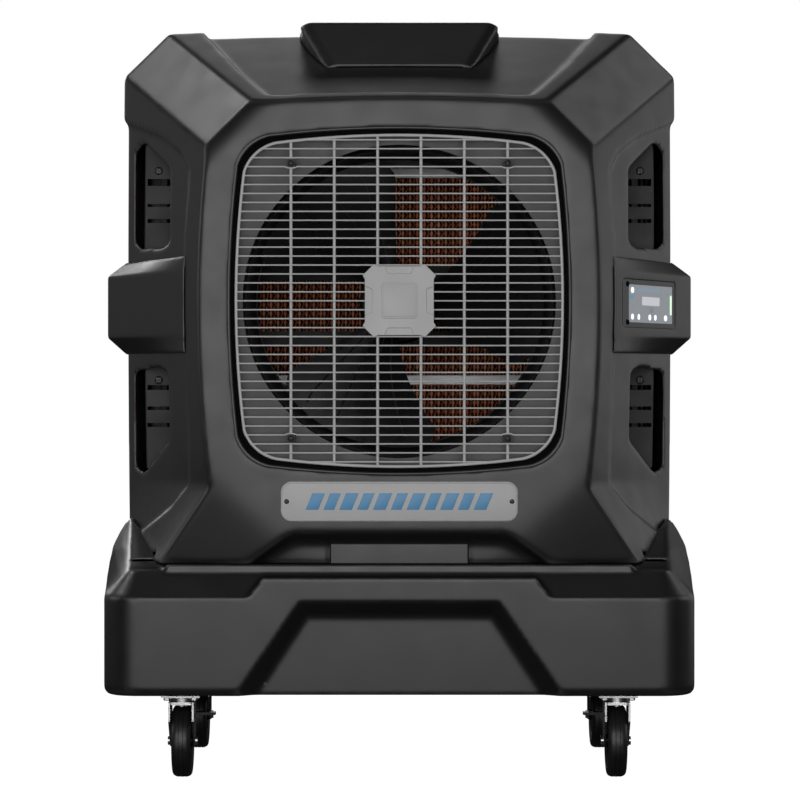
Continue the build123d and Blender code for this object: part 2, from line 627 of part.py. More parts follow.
FRAME_INNER = 520.0
FRAME_OUTER = 536.0
RAIL_HEIGHTS = (831.0, 1295.0)
RISER_X = 549.0
RISER_Y = at(668)
PUMP_X = 440.0
HEADER_Z = MEDIA_TOP + 34.0
HOSE_RADIUS = 9.0

for name, index in (("left", -1), ("centre", 0), ("right", 1)):
    with BuildPart() as pad:
        middle = index * MEDIA_PITCH
        add(block(middle - MEDIA_WIDTH / 2, middle + MEDIA_WIDTH / 2, MEDIA_FRONT, MEDIA_BACK,
                  MEDIA_BOTTOM, MEDIA_TOP))
    save(pad.part, f"{name}_media_pad")

with BuildPart() as media_frame:
    add(block(-FRAME_OUTER, FRAME_OUTER, MEDIA_FRONT - 12, MEDIA_BACK, MEDIA_BOTTOM - 20, MEDIA_TOP + 20))
    add(block(-FRAME_INNER, FRAME_INNER, MEDIA_FRONT - 20, MEDIA_BACK + 5, MEDIA_BOTTOM, MEDIA_TOP),
        mode=Mode.SUBTRACT)
save(media_frame.part, "media_frame")

with BuildPart() as media_rails:
    for z in RAIL_HEIGHTS:
        add(block(-FRAME_INNER, FRAME_INNER, MEDIA_FRONT - 12, MEDIA_FRONT, z - 11, z + 11))
save(media_rails.part, "media_rails")

with BuildPart() as water_header:
    add(cross_rod(-512, 512, RISER_Y, HEADER_Z, 14))
    for x in (-340, 0, 340):
        add(block(x - 12, x + 12, 656, 680, MEDIA_TOP + 20, HEADER_Z))
save(water_header.part, "water_header")

with BuildPart() as riser_hose:
    with BuildLine(Plane.XZ.offset(-RISER_Y)) as route:
        FilletPolyline((512, HEADER_Z), (RISER_X, HEADER_Z), (RISER_X, 370), (PUMP_X, 335), (PUMP_X, 297),
                       radius=[22, 60, 22])
    with BuildSketch(Plane(origin=(512, RISER_Y, HEADER_Z), z_dir=(1, 0, 0))):
        Circle(HOSE_RADIUS)
    sweep(path=route.wires()[0])
save(riser_hose.part, "riser_hose")

with BuildPart() as pump:
    add(block(PUMP_X - 40, PUMP_X + 40, 638, 698, SUMP_BOTTOM + SUMP_WALL, 270))
    add(post(PUMP_X, RISER_Y, 265, 297, 8))
save(pump.part, "pump")

# Water inlet, float valve, drain and fill door

with BuildPart() as hose_inlet:
    add(rod(INLET_X, INLET_Z, 9, TANK_BACK, POCKET_FLOOR))
    add(rod(INLET_X, INLET_Z, 20, POCKET_FLOOR, POCKET_FLOOR + 4))
    add(rod(INLET_X, INLET_Z, INLET_RADIUS, POCKET_FLOOR + 4, POCKET_FLOOR + 28))
    add(rod(INLET_X, INLET_Z, 6, TANK_BACK - 5, POCKET_FLOOR + 30), mode=Mode.SUBTRACT)
save(hose_inlet.part, "hose_inlet")

FLOAT_PIVOT = 655.0

with BuildPart() as float_valve:
    add(block(INLET_X - 18, INLET_X + 18, 662, TANK_BACK, INLET_Z - 18, INLET_Z + 18))
    for offset in (-9, 9):
        add(block(INLET_X + offset - 3, INLET_X + offset + 3, 648, 662, INLET_Z - 8, INLET_Z + 8))
    add(cross_rod(INLET_X - 12, INLET_X + 12, at(FLOAT_PIVOT), INLET_Z, 2.5))
save(float_valve.part, "float_valve")

FLOAT_DROOP = 28.0


def hanging(piece):
    """Turns a piece about the float pivot to where the arm hangs in an empty tank."""
    pivot = (INLET_X, at(FLOAT_PIVOT), INLET_Z)
    return Pos(*pivot) * Rot(FLOAT_DROOP, 0, 0) * Pos(*[-value for value in pivot]) * piece


with BuildPart() as float_arm:
    add(hanging(cross_rod(INLET_X - 5.5, INLET_X + 5.5, at(FLOAT_PIVOT), INLET_Z, 6)))
    add(hanging(rod(INLET_X, INLET_Z, 3, 519, FLOAT_PIVOT - 4)))
    add(cross_rod(INLET_X - 8, INLET_X + 8, at(FLOAT_PIVOT), INLET_Z, 2.5 + RUNNING_FIT), mode=Mode.SUBTRACT)
save(float_arm.part, "float_arm")

with BuildPart() as float_ball:
    add(hanging(Pos(INLET_X, at(482), INLET_Z) * Sphere(38, mode=Mode.PRIVATE)))
    add(float_arm.part, mode=Mode.SUBTRACT)
save(float_ball.part, "float_ball")

DRAIN_STEM_DEPTH = 720.0

with BuildPart() as drain_valve:
    add(rod(DRAIN_X, DRAIN_Z, 8, TANK_BACK, POCKET_FLOOR))
    add(rod(DRAIN_X, DRAIN_Z, 14, POCKET_FLOOR, 728))
    add(rod(DRAIN_X, DRAIN_Z, 10, 728, 744))
    add(post(DRAIN_X, at(DRAIN_STEM_DEPTH), DRAIN_Z, 255.7, 7))
    add(rod(DRAIN_X, DRAIN_Z, 6, 725, 750), mode=Mode.SUBTRACT)
    add(post(DRAIN_X, at(DRAIN_STEM_DEPTH), 245, 260, 4 + RUNNING_FIT), mode=Mode.SUBTRACT)
save(drain_valve.part, "drain_valve")

with BuildPart() as drain_lever:
    add(post(DRAIN_X, at(DRAIN_STEM_DEPTH), 245.5, 258, 4))
    add(post(DRAIN_X, at(DRAIN_STEM_DEPTH), 256, 260, 7))
    add(block(DRAIN_X, DRAIN_X + 62, DRAIN_STEM_DEPTH - 6, DRAIN_STEM_DEPTH + 6, 256, 260))
save(drain_lever.part, "drain_lever")

with BuildPart() as fill_door:
    add(block(-109.5, 109.5, 742.4, 749.6, DOOR_HINGE_Z, 369.5))
    add(cross_rod(-109.5, 109.5, at(746), DOOR_HINGE_Z, 3.6))
    for x in (-105, 105):
        add(cross_rod(x - 8, x + 8, at(746), DOOR_HINGE_Z, 1.6 + RUNNING_FIT), mode=Mode.SUBTRACT)
save(fill_door.part, "fill_door")

# Rear guard, its screws and the cord gland

GUARD_BACK = HOUSING_BACK + 6.0

with BuildPart() as rear_guard:
    add(block(-525, 525, HOUSING_BACK, GUARD_BACK, 515, 1445))
    add(block(-500, 500, HOUSING_BACK - 5, GUARD_BACK + 5, 540, 1420), mode=Mode.SUBTRACT)
    for index in range(29):
        z = 560 + index * 30
        add(block(-503, 503, HOUSING_BACK, GUARD_BACK, z - 4, z + 4))
    for x in (-250, 0, 250):
        add(block(x - 5, x + 5, HOUSING_BACK, GUARD_BACK, 535, 1425))
    for x, z in GUARD_SCREWS:
        add(rod(x, z, 2.5, HOUSING_BACK - 5, GUARD_BACK + 5), mode=Mode.SUBTRACT)
save(rear_guard.part, "rear_guard")

with BuildPart() as guard_screws:
    for x, z in GUARD_SCREWS:
        add(rod(x, z, 2.5, HOUSING_BACK - 4, GUARD_BACK))
        add(rod(x, z, 6, GUARD_BACK, GUARD_BACK + 3))
save(guard_screws.part, "guard_screws")

with BuildPart() as cord_gland:
    add(rod(GLAND_X, GLAND_Z, 6, MEDIA_BACK, HOUSING_BACK))
    add(rod(GLAND_X, GLAND_Z, 12, HOUSING_BACK, HOUSING_BACK + 4))
    add(rod(GLAND_X, GLAND_Z, 9, HOUSING_BACK + 4, HOUSING_BACK + 13))
    add(rod(GLAND_X, GLAND_Z, 4, MEDIA_BACK - 5, HOUSING_BACK + 20), mode=Mode.SUBTRACT)
save(cord_gland.part, "cord_gland")

# Casters

PLATE_BOTTOM = SUMP_BOTTOM - PLATE_THICKNESS
RACE_BOTTOM = 161.0
CROWN_BOTTOM = 154.0
PEDAL_PIVOT = (-22.0, 128.0)

with BuildPart() as caster_plates:
    for cx, cy in CASTER_SPOTS.values():
        plate_centre = Pos(cx, cy, SUMP_BOTTOM - PLATE_THICKNESS / 2)
        add(plate_centre * Box(PLATE_WIDTH, PLATE_LENGTH, PLATE_THICKNESS, mode=Mode.PRIVATE))
        add(post(cx, cy, RACE_BOTTOM, PLATE_BOTTOM, RACE_RADIUS))
        add(post(cx, cy, 149.2, RACE_BOTTOM, KING_PIN_RADIUS))
        add(post(cx, cy, 149.2, CROWN_BOTTOM - GAP, 9))
        for dx, dy in BOLT_SPOTS:
            add(post(cx + dx, cy + dy, PLATE_BOTTOM - 1, SUMP_BOTTOM + 1, 4), mode=Mode.SUBTRACT)
save(caster_plates.part, "caster_plates")

with BuildPart() as caster_bolts:
    for cx, cy in CASTER_SPOTS.values():
        for dx, dy in BOLT_SPOTS:
            add(post(cx + dx, cy + dy, PLATE_BOTTOM, SUMP_BOTTOM + 7, 4))
            add(post(cx + dx, cy + dy, PLATE_BOTTOM - 6, PLATE_BOTTOM, 7.5))
save(caster_bolts.part, "caster_bolts")

LEG_OUTLINE = [(-30, 160), (42, 160), (42, 132), (40, 75), (34, 64), (22, 64), (14, 75), (-30, 120)]


def fork(cx, cy, braked):
    """Swivel fork with its axle, nuts and, on a braked caster, the pedal's pivots."""
    wheel_y = cy + TRAIL
    with BuildPart() as piece:
        with BuildSketch(level(CROWN_BOTTOM)):
            with Locations((cx, cy + 6)):
                RectangleRounded(2 * FORK_OUTER, 72, 8)
        extrude(amount=6)
        add(post(cx, cy, CROWN_BOTTOM, RACE_BOTTOM - GAP, RACE_RADIUS))
        add(post(cx, cy, CROWN_BOTTOM - 5, RACE_BOTTOM + 5, KING_PIN_RADIUS + RUNNING_FIT), mode=Mode.SUBTRACT)
        for inner in (FORK_INNER, -FORK_OUTER):
            profile = outline(side(cx + inner), [(cy + y, z) for y, z in LEG_OUTLINE])
            extrude(profile, amount=FORK_OUTER - FORK_INNER, dir=(1, 0, 0))
        add(cross_rod(cx - FORK_OUTER, cx + FORK_OUTER, wheel_y, WHEEL_RADIUS, AXLE_RADIUS))
        for start in (-FORK_OUTER - 4.5, FORK_OUTER):
            add(cross_rod(cx + start, cx + start + 4.5, wheel_y, WHEEL_RADIUS, 9))
        if braked:
            for start in (-30.5, FORK_OUTER - 1):
                add(cross_rod(cx + start, cx + start + 5, cy + PEDAL_PIVOT[0], PEDAL_PIVOT[1], 3))
    return piece.part


def hub(cx, cy):
    wheel_y = cy + TRAIL
    with BuildPart() as piece:
        add(cross_rod(cx - 14, cx + 14, wheel_y, WHEEL_RADIUS, HUB_RADIUS))
        add(cross_rod(cx - 22.1, cx + 22.1, wheel_y, WHEEL_RADIUS, 13))
        add(cross_rod(cx - 30, cx + 30, wheel_y, WHEEL_RADIUS, AXLE_RADIUS + RUNNING_FIT), mode=Mode.SUBTRACT)
    return piece.part


def tyre(cx, cy):
    with BuildPart() as piece:
        add(cross_rod(cx - WHEEL_WIDTH / 2, cx + WHEEL_WIDTH / 2, cy + TRAIL, WHEEL_RADIUS, WHEEL_RADIUS))
        fillet(piece.edges().filter_by(GeomType.CIRCLE), 14)
        add(cross_rod(cx - 25, cx + 25, cy + TRAIL, WHEEL_RADIUS, HUB_RADIUS), mode=Mode.SUBTRACT)
    return piece.part


PEDAL_ARM = [(-29, 134), (-15, 134), (-15, 121), (-54, 84), (-70, 84), (-70, 92)]


def pedal(cx, cy):
    """Brake pedal: two arms outside the fork and a foot plate ahead of the wheel."""
    with BuildPart() as piece:
        for inner in (27.0, -30.0):
            profile = outline(side(cx + inner), [(cy + y, z) for y, z in PEDAL_ARM])
            extrude(profile, amount=3, dir=(1, 0, 0))
        centre = Pos(cx, cy - 70, 87)
        add(centre * Box(84, 28, 6, mode=Mode.PRIVATE))
        add(cross_rod(cx - 32, cx + 32, cy + PEDAL_PIVOT[0], PEDAL_PIVOT[1], 3 + RUNNING_FIT), mode=Mode.SUBTRACT)
    return piece.part


for name, (cx, cy) in CASTER_SPOTS.items():
    braked = name.startswith("r")
    save(fork(cx, cy, braked), f"fork_{name}")
    save(hub(cx, cy), f"wheel_hub_{name}")
    save(tyre(cx, cy), f"tyre_{name}")
    if braked:
        save(pedal(cx, cy), f"brake_pedal_{name}")
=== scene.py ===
import math

import bmesh
import bpy
import numpy as np
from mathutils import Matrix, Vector


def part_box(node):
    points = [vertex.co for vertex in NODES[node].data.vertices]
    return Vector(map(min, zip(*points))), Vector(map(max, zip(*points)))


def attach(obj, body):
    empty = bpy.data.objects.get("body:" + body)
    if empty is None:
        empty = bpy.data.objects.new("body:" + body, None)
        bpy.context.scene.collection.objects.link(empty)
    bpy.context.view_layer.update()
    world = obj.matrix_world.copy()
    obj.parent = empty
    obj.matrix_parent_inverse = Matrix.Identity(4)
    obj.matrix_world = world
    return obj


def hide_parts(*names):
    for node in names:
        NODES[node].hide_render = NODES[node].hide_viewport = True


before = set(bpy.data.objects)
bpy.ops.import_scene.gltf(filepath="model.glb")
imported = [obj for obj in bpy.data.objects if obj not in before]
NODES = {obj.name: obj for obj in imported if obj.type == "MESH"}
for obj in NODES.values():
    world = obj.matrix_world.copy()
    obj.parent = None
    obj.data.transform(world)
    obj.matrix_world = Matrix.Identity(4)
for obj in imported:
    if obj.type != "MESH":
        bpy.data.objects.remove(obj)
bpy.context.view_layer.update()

# Looks of a portable evaporative cooler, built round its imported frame. Metres, +Z up, air blows towards -Y.

MM = 0.001
HALF_DEPTH = 375 * MM
FAN_HEIGHT = 990 * MM
scene = bpy.context.scene


def at(depth):
    """Y of a depth in millimetres behind the front of the tank."""
    return depth * MM - HALF_DEPTH


# Materials


def blank(name):
    """New material, with its nodes, its links and its shader."""
    material = bpy.data.materials.new(name)
    material.use_nodes = True
    tree = material.node_tree
    return material, tree.nodes, tree.links, tree.nodes["Principled BSDF"]


def noise_texture(nodes, links, place, scale, detail=2.0):
    """Noise at a place, scale waves to the metre."""
    texture = nodes.new("ShaderNodeTexNoise")
    texture.inputs["Scale"].default_value = scale
    texture.inputs["Detail"].default_value = detail
    links.new(place, texture.inputs["Vector"])
    return texture


def spread(nodes, links, value, low, high, start=0.3, end=0.7):
    """Maps a texture's middle range onto low to high."""
    mapped = nodes.new("ShaderNodeMapRange")
    mapped.inputs["From Min"].default_value = start
    mapped.inputs["From Max"].default_value = end
    mapped.inputs["To Min"].default_value = low
    mapped.inputs["To Max"].default_value = high
    links.new(value, mapped.inputs["Value"])
    return mapped.outputs["Result"]


def blend_of(nodes, links, value, first, second, start=0.3, end=0.7):
    """Colour that runs from first to second as a texture's value goes from start to end."""
    ramp = nodes.new("ShaderNodeValToRGB")
    for element, position, colour in zip(ramp.color_ramp.elements, (start, end), (first, second)):
        element.position = position
        element.color = (*colour, 1)
    links.new(value, ramp.inputs["Fac"])
    return ramp.outputs["Color"]


def roughen(nodes, links, shader, texture, strength, depth):
    """Bump from a texture, depth metres high."""
    bump = nodes.new("ShaderNodeBump")
    bump.inputs["Strength"].default_value = strength
    bump.inputs["Distance"].default_value = depth
    links.new(texture.outputs["Fac"], bump.inputs["Height"])
    links.new(bump.outputs["Normal"], shader.inputs["Normal"])


def surface(name, colour, roughness, metallic=0.0, specular=0.5, coat=0.0, grain=330.0, depth=0.00006,
            mottle=0.12, patch=9.0, unevenness=0.05, edge_highlight=None):
    """Plastic, paint, rubber or metal with mottled colour, uneven gloss and a fine grain.

    grain and patch are texture scales, depth is the grain's height in metres, and edge_highlight is the
    brightness of a painted highlight along sharp edges, which only a dense mesh shows."""
    material, nodes, links, shader = blank(name)
    shader.inputs["Metallic"].default_value = metallic
    shader.inputs["Specular IOR Level"].default_value = specular
    shader.inputs["Coat Weight"].default_value = coat
    place = nodes.new("ShaderNodeTexCoord").outputs["Object"]
    blotches = noise_texture(nodes, links, place, patch, 4.0)
    darker, lighter = [c * (1 - mottle) for c in colour], [c * (1 + mottle) for c in colour]
    shade = blend_of(nodes, links, blotches.outputs["Fac"], darker, lighter)
    if edge_highlight:
        # Painted highlight: sharp edges, found by their pointiness, are mixed towards a pale grey.
        edges = nodes.new("ShaderNodeNewGeometry")
        highlight_mask = spread(nodes, links, edges.outputs["Pointiness"], 0.0, 1.0, 0.515, 0.57)
        pale = nodes.new("ShaderNodeMixRGB")
        pale.inputs["Color2"].default_value = (edge_highlight, edge_highlight, edge_highlight, 1)
        links.new(highlight_mask, pale.inputs["Fac"])
        links.new(shade, pale.inputs["Color1"])
        shade = pale.outputs["Color"]
    links.new(shade, shader.inputs["Base Color"])
    smears = noise_texture(nodes, links, place, patch * 1.7, 3.0)
    gloss = spread(nodes, links, smears.outputs["Fac"], roughness - unevenness, roughness + unevenness)
    links.new(gloss, shader.inputs["Roughness"])
    texture = noise_texture(nodes, links, place, grain, 2.0)
    roughen(nodes, links, shader, texture, 0.5, depth)
    return material


def lit(name, colour, strength):
    """Display element: a faint glow with a slight unevenness."""
    material, nodes, links, shader = blank(name)
    coordinates = nodes.new("ShaderNodeTexCoord")
    haze = noise_texture(nodes, links, coordinates.outputs["Object"], 60.0)
    glow = blend_of(nodes, links, haze.outputs["Fac"], [c * 0.92 for c in colour], colour, 0.0, 1.0)
    links.new(glow, shader.inputs["Base Color"])
    links.new(glow, shader.inputs["Emission Color"])
    shader.inputs["Emission Strength"].default_value = strength
    shader.inputs["Roughness"].default_value = 0.25
    return material


# The large mouldings are dense enough to show a painted highlight along their edges; the small charcoal parts
# aren't.
CHARCOAL_FINISH = dict(colour=(0.0095, 0.0095, 0.0099), roughness=0.38, specular=0.52, grain=420,
                       depth=0.00005, unevenness=0.03)
CHARCOAL = surface("charcoal_moulding", edge_highlight=0.10, **CHARCOAL_FINISH)
CHARCOAL_PART = surface("charcoal_part", **CHARCOAL_FINISH)
SHROUD = surface("shroud_plastic", (0.055, 0.055, 0.055), 0.48, grain=500, depth=0.00004)
GRILLE = surface("grille_coating", (0.54, 0.54, 0.54), 0.42, grain=900, depth=0.00002, mottle=0.05)
BADGE = surface("badge_plastic", (0.49, 0.49, 0.49), 0.45, grain=800, depth=0.00002, mottle=0.04)
ZINC = surface("zinc_plate", (0.55, 0.55, 0.56), 0.30, metallic=1.0, grain=260, depth=0.00003,
               mottle=0.15, patch=60, unevenness=0.1)
DARK_STEEL = surface("black_steel", (0.02, 0.02, 0.02), 0.38, grain=500, depth=0.00003)
GLOSS_BLACK = surface("black_gloss", (0.008, 0.008, 0.009), 0.16, coat=0.3, grain=100, depth=0.00001,
                      unevenness=0.03)
FAN_BLACK = surface("fan_plastic", (0.006, 0.006, 0.0065), 0.30, specular=0.16, grain=400, depth=0.00003)
MOTOR_PAINT = surface("motor_paint", (0.006, 0.006, 0.006), 0.45, specular=0.12, grain=500, depth=0.00003)
INSERT = surface("vent_insert_plastic", (0.022, 0.022, 0.022), 0.5, specular=0.3, grain=450, depth=0.00004)
RUBBER = surface("caster_rubber", (0.008, 0.008, 0.008), 0.42, grain=600, depth=0.00005, mottle=0.25,
                 patch=25, unevenness=0.08)
WHITE = surface("white_plastic", (0.55, 0.55, 0.54), 0.4, grain=300, depth=0.00003, mottle=0.04)
BRASS = surface("brass", (0.62, 0.42, 0.15), 0.28, metallic=1.0, grain=250, depth=0.00002, patch=50)
RED = surface("lever_red", (0.45, 0.02, 0.015), 0.4, grain=400, depth=0.00003)
# Painted light: a brighter copy of the white plastic, so that the rails, which sit in the duct's shade, come
# out bright.
RAIL_WHITE_LIT = surface("rail_white_painted_light", (0.88, 0.89, 0.90), 0.3, specular=0.9, grain=300, depth=0.00003,
                     mottle=0.04)
# Near-black foam, for the seal beside the screen and as painted shade for the ring deep in the air outlet.
SEAL_AND_SHADE = surface("foam_seal_and_shade", (0.004, 0.004, 0.004), 0.9, specular=0.05, grain=300, depth=0.0001)
BLUE = surface("motif_blue", (0.068, 0.28, 0.53), 0.4, grain=600, depth=0.00002, mottle=0.05)


def paper(name, damp_colour, dry_colour):
    """Resin-stiffened cellulose: brown, fibrous, with damp darker streaks."""
    material, nodes, links, shader = blank(name)
    coordinates = nodes.new("ShaderNodeTexCoord")
    streak = nodes.new("ShaderNodeMapping")
    streak.inputs["Scale"].default_value = (30, 12, 2.2)
    links.new(coordinates.outputs["Object"], streak.inputs["Vector"])
    damp = noise_texture(nodes, links, streak.outputs["Vector"], 1.6, 5.0)
    shade = blend_of(nodes, links, damp.outputs["Fac"], damp_colour, dry_colour)
    links.new(shade, shader.inputs["Base Color"])
    fibres = noise_texture(nodes, links, coordinates.outputs["Object"], 900.0, 3.0)
    roughen(nodes, links, shader, fibres, 0.6, 0.0002)
    gloss = spread(nodes, links, damp.outputs["Fac"], 0.9, 0.7)
    links.new(gloss, shader.inputs["Roughness"])
    shader.inputs["Specular IOR Level"].default_value = 0.25
    return material


PAPER = paper("pad_cellulose", (0.50, 0.14, 0.060), (0.88, 0.34, 0.17))
# Painted shade: a dark copy of the paper for the pad's core, where the flutes lie in shade.
PAPER_SHADE = paper("pad_painted_shade", (0.05, 0.012, 0.006), (0.10, 0.028, 0.012))


# Mesh building


class Shape:
    """Vertices and faces gathered from several simple builders."""

    def __init__(self):
        self.points = []
        self.faces = []

    def add(self, points, faces):
        """Takes in points, and faces that count from the first of them."""
        start = len(self.points)
        self.points += [tuple(p) for p in points]
        self.faces += [tuple(start + i for i in face) for face in faces]

    def rings(self, rings, closed_ends=True, looped=False):
        """Skin over rings that have the same number of points."""
        count = len(rings[0])
        points = [p for ring in rings for p in ring]
        faces = []
        last = len(rings) if looped else len(rings) - 1
        for k in range(last):
            low, high = k * count, (k + 1) % len(rings) * count
            faces += [(low + i, low + (i + 1) % count, high + (i + 1) % count, high + i)
                      for i in range(count)]
        if closed_ends and not looped:
            faces.append(tuple(reversed(range(count))))
            faces.append(tuple(range((len(rings) - 1) * count, len(rings) * count)))
        self.add(points, faces)

    def tube(self, path, radius, sides=8, looped=False):
        """Round wire along a path."""
        path = [Vector(p) for p in path]
        count = len(path)
        rings = []
        side = None
        for i, p in enumerate(path):
            before = path[(i - 1) % count] if looped or i else path[0]
            after = path[(i + 1) % count] if looped or i < count - 1 else path[-1]
            along = (after - before).normalized()
            if side is None:
                side = along.orthogonal().normalized()
            side = (side - along * side.dot(along)).normalized()
            other = along.cross(side)
            turns = [2 * math.pi * k / sides for k in range(sides)]
            rings.append([p + radius * (math.cos(a) * side + math.sin(a) * other) for a in turns])
        self.rings(rings, looped=looped)

    def lathe(self, profile, centre, axis="Y", segments=48):
        """Turned form; the profile is (radius, distance along the axis), looped round its section."""
        rings = []
        for radius, distance in profile:
            ring = []
            for k in range(segments):
                a = 2 * math.pi * k / segments
                u, v = radius * math.cos(a), radius * math.sin(a)
                spot = {"X": (distance, u, v), "Y": (v, distance, u), "Z": (u, v, distance)}[axis]
                ring.append(Vector(centre) + Vector(spot))
            rings.append(ring)
        hollow = profile[0][0] > 1e-6 and profile[-1][0] > 1e-6
        self.rings(rings, closed_ends=not hollow, looped=hollow)

    def slab(self, outline, front, back, rounding, steps=3):
        """Plate facing the front, cut to an (x, z) outline, with a rounded front edge."""
        rings = [[(x, back, z) for x, z in outline], [(x, front + rounding, z) for x, z in outline]]
        for k in range(1, steps + 1):
            a = 0.5 * math.pi * k / steps
            inner = inset(outline, rounding * (1 - math.cos(a)))
            rings.append([(x, front + rounding * (1 - math.sin(a)), z) for x, z in inner])
        self.rings(rings)

    def piece(self, name, material, body="cabinet", slot=None, stands_for=(), crisp=35.0):
        """Object of everything gathered; edges sharper than crisp degrees stay sharp."""
        mesh = bpy.data.meshes.new(name)
        mesh.from_pydata([tuple(p) for p in self.points], [], self.faces)
        mesh.validate()
        mesh.materials.append(material)
        made = bpy.data.objects.new(name, mesh)
        scene.collection.objects.link(made)
        outward(mesh)
        mesh.polygons.foreach_set("use_smooth", [True] * len(mesh.polygons))
        mesh.set_sharp_from_angle(angle=math.radians(crisp))
        return belongs(made, body, stands_for)


def belongs(made, body, stands_for):
    """Ties a new piece to its body and hides the CAD nodes it stands for."""
    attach(made, body)
    if stands_for:
        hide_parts(*stands_for)
    return made


def outward(mesh):
    """Turns every face to point out of its own closed part."""
    work = bmesh.new()
    work.from_mesh(mesh)
    bmesh.ops.recalc_face_normals(work, faces=work.faces)
    work.to_mesh(mesh)
    work.free()


def inset(outline, distance):
    """Outline drawn in by a distance, for either winding."""
    count = len(outline)
    area = sum(outline[i][0] * outline[(i + 1) % count][1] - outline[(i + 1) % count][0] * outline[i][1]
               for i in range(count))
    turn = 1 if area > 0 else -1
    drawn = []
    for i in range(count):
        p, a, b = Vector(outline[i]), Vector(outline[i - 1]), Vector(outline[(i + 1) % count])
        u, v = (p - a).normalized(), (b - p).normalized()
        n1, n2 = Vector((-u.y, u.x)) * turn, Vector((-v.y, v.x)) * turn
        middle = (n1 + n2).normalized()
        drawn.append(tuple(p + middle * distance / max(0.4, middle.dot(n1))))
    return drawn


def arc(a, b, c, steps):
    """Points of the circle through a, b and c, from a towards c, without c."""
    (ax, az), (bx, bz), (cx, cz) = a, b, c
    d = 2 * (ax * (bz - cz) + bx * (cz - az) + cx * (az - bz))
    squares = [x * x + z * z for x, z in (a, b, c)]
    ux = (squares[0] * (bz - cz) + squares[1] * (cz - az) + squares[2] * (az - bz)) / d
    uz = (squares[0] * (cx - bx) + squares[1] * (ax - cx) + squares[2] * (bx - ax)) / d
    radius = math.hypot(ax - ux, az - uz)
    start, end = math.atan2(az - uz, ax - ux), math.atan2(cz - uz, cx - ux)
    swing = (end - start + math.pi) % (2 * math.pi) - math.pi
    angles = [start + swing * k / steps for k in range(steps)]
    return [(ux + radius * math.cos(a), uz + radius * math.sin(a)) for a in angles]


def bowed(half_width, half_height, steps=16):
    """Outline of the air outlet: four bowed sides and four round corners, about the fan axis, in metres."""
    w, h = half_width, half_height
    ex, ez, rz, rx = w - 16.5, h - 16.0, h - 76.0, w - 83.0
    corner = (w - 44.0, h - 35.0)
    points = arc((ex, -rz), (w, 0), (ex, rz), steps)
    points += arc((ex, rz), corner, (rx, ez), steps)
    points += arc((rx, ez), (0, h), (-rx, ez), steps)
    points += arc((-rx, ez), (-corner[0], corner[1]), (-ex, rz), steps)
    points += arc((-ex, rz), (-w, 0), (-ex, -rz), steps)
    points += arc((-ex, -rz), (-corner[0], -corner[1]), (-rx, -ez), steps)
    points += arc((-rx, -ez), (0, -h), (rx, -ez), steps)
    points += arc((rx, -ez), (corner[0], -corner[1]), (ex, -rz), steps)
    return [(x * MM, z * MM + FAN_HEIGHT) for x, z in points]


def reach(outline, level, axis):
    """Half extent of an outline along axis 0 (x) or 1 (z), where the other coordinate is level."""
    other = 1 - axis
    found = []
    for i, p in enumerate(outline):
        q = outline[(i + 1) % len(outline)]
        if (p[other] - level) * (q[other] - level) <= 0 and p[other] != q[other]:
            share = (level - p[other]) / (q[other] - p[other])
            found.append(p[axis] + share * (q[axis] - p[axis]))
    return min(found), max(found)


def rounded_box(width, height, radius, steps=6):
    """Rectangle outline with round corners about the origin."""
    points = []
    for k, (sx, sz) in enumerate(((1, 1), (-1, 1), (-1, -1), (1, -1))):
        for j in range(steps + 1):
            a = 0.5 * math.pi * (k + j / steps)
            points.append((sx * (width / 2 - radius) + radius * math.cos(a),
                           sz * (height / 2 - radius) + radius * math.sin(a)))
    return points


# Large mouldings, cast from the CAD solids with soft edges


def moulded(name, node, voxel, softening, most_triangles, pressed=None):
    """Moulding with soft edges; pressed(points) gives how far each point is pressed out of place."""
    made = bpy.data.objects.new(name, NODES[node].data.copy())
    scene.collection.objects.link(made)
    weld = made.modifiers.new("weld", "WELD")
    weld.merge_threshold = 1e-5
    cast = made.modifiers.new("cast", "REMESH")
    cast.mode = "VOXEL"
    cast.voxel_size = voxel
    settle(made)
    if pressed:
        points = np.empty(len(made.data.vertices) * 3, np.float32)
        made.data.vertices.foreach_get("co", points)
        moved = points.reshape(-1, 3) + pressed(points.reshape(-1, 3))
        made.data.vertices.foreach_set("co", moved.astype(np.float32).ravel())
    soften = made.modifiers.new("soften", "SMOOTH")
    soften.factor = 0.5
    soften.iterations = softening
    settle(made)
    triangles = 2 * len(made.data.polygons)
    if triangles > most_triangles:
        thin = made.modifiers.new("thin", "DECIMATE")
        thin.ratio = most_triangles / triangles
        settle(made)
    made.data.polygons.foreach_set("use_smooth", [True] * len(made.data.polygons))
    made.data.materials.clear()
    made.data.materials.append(CHARCOAL)
    return belongs(made, "cabinet", [node])


def settle(made):
    """Applies an object's modifiers."""
    bpy.context.view_layer.update()
    ready = made.evaluated_get(bpy.context.evaluated_depsgraph_get())
    mesh = bpy.data.meshes.new_from_object(ready)
    made.modifiers.clear()
    made.data = mesh


def softened(node, material, width, segments=2, crisp=30.0):
    """Carried-over CAD node with small rounded edges."""
    kept = NODES[node]
    kept.data.materials.clear()
    kept.data.materials.append(material)
    if width:
        weld = kept.modifiers.new("weld", "WELD")
        weld.merge_threshold = 1e-5
        flat = kept.modifiers.new("flat", "DECIMATE")
        flat.decimate_type = "DISSOLVE"
        flat.angle_limit = math.radians(0.6)
        edge = kept.modifiers.new("edge", "BEVEL")
        edge.width = width
        edge.segments = segments
        edge.angle_limit = math.radians(crisp)
        even = kept.modifiers.new("even", "WEIGHTED_NORMAL")
        even.keep_sharp = False
    kept.data.polygons.foreach_set("use_smooth", [True] * len(kept.data.polygons))
    return kept


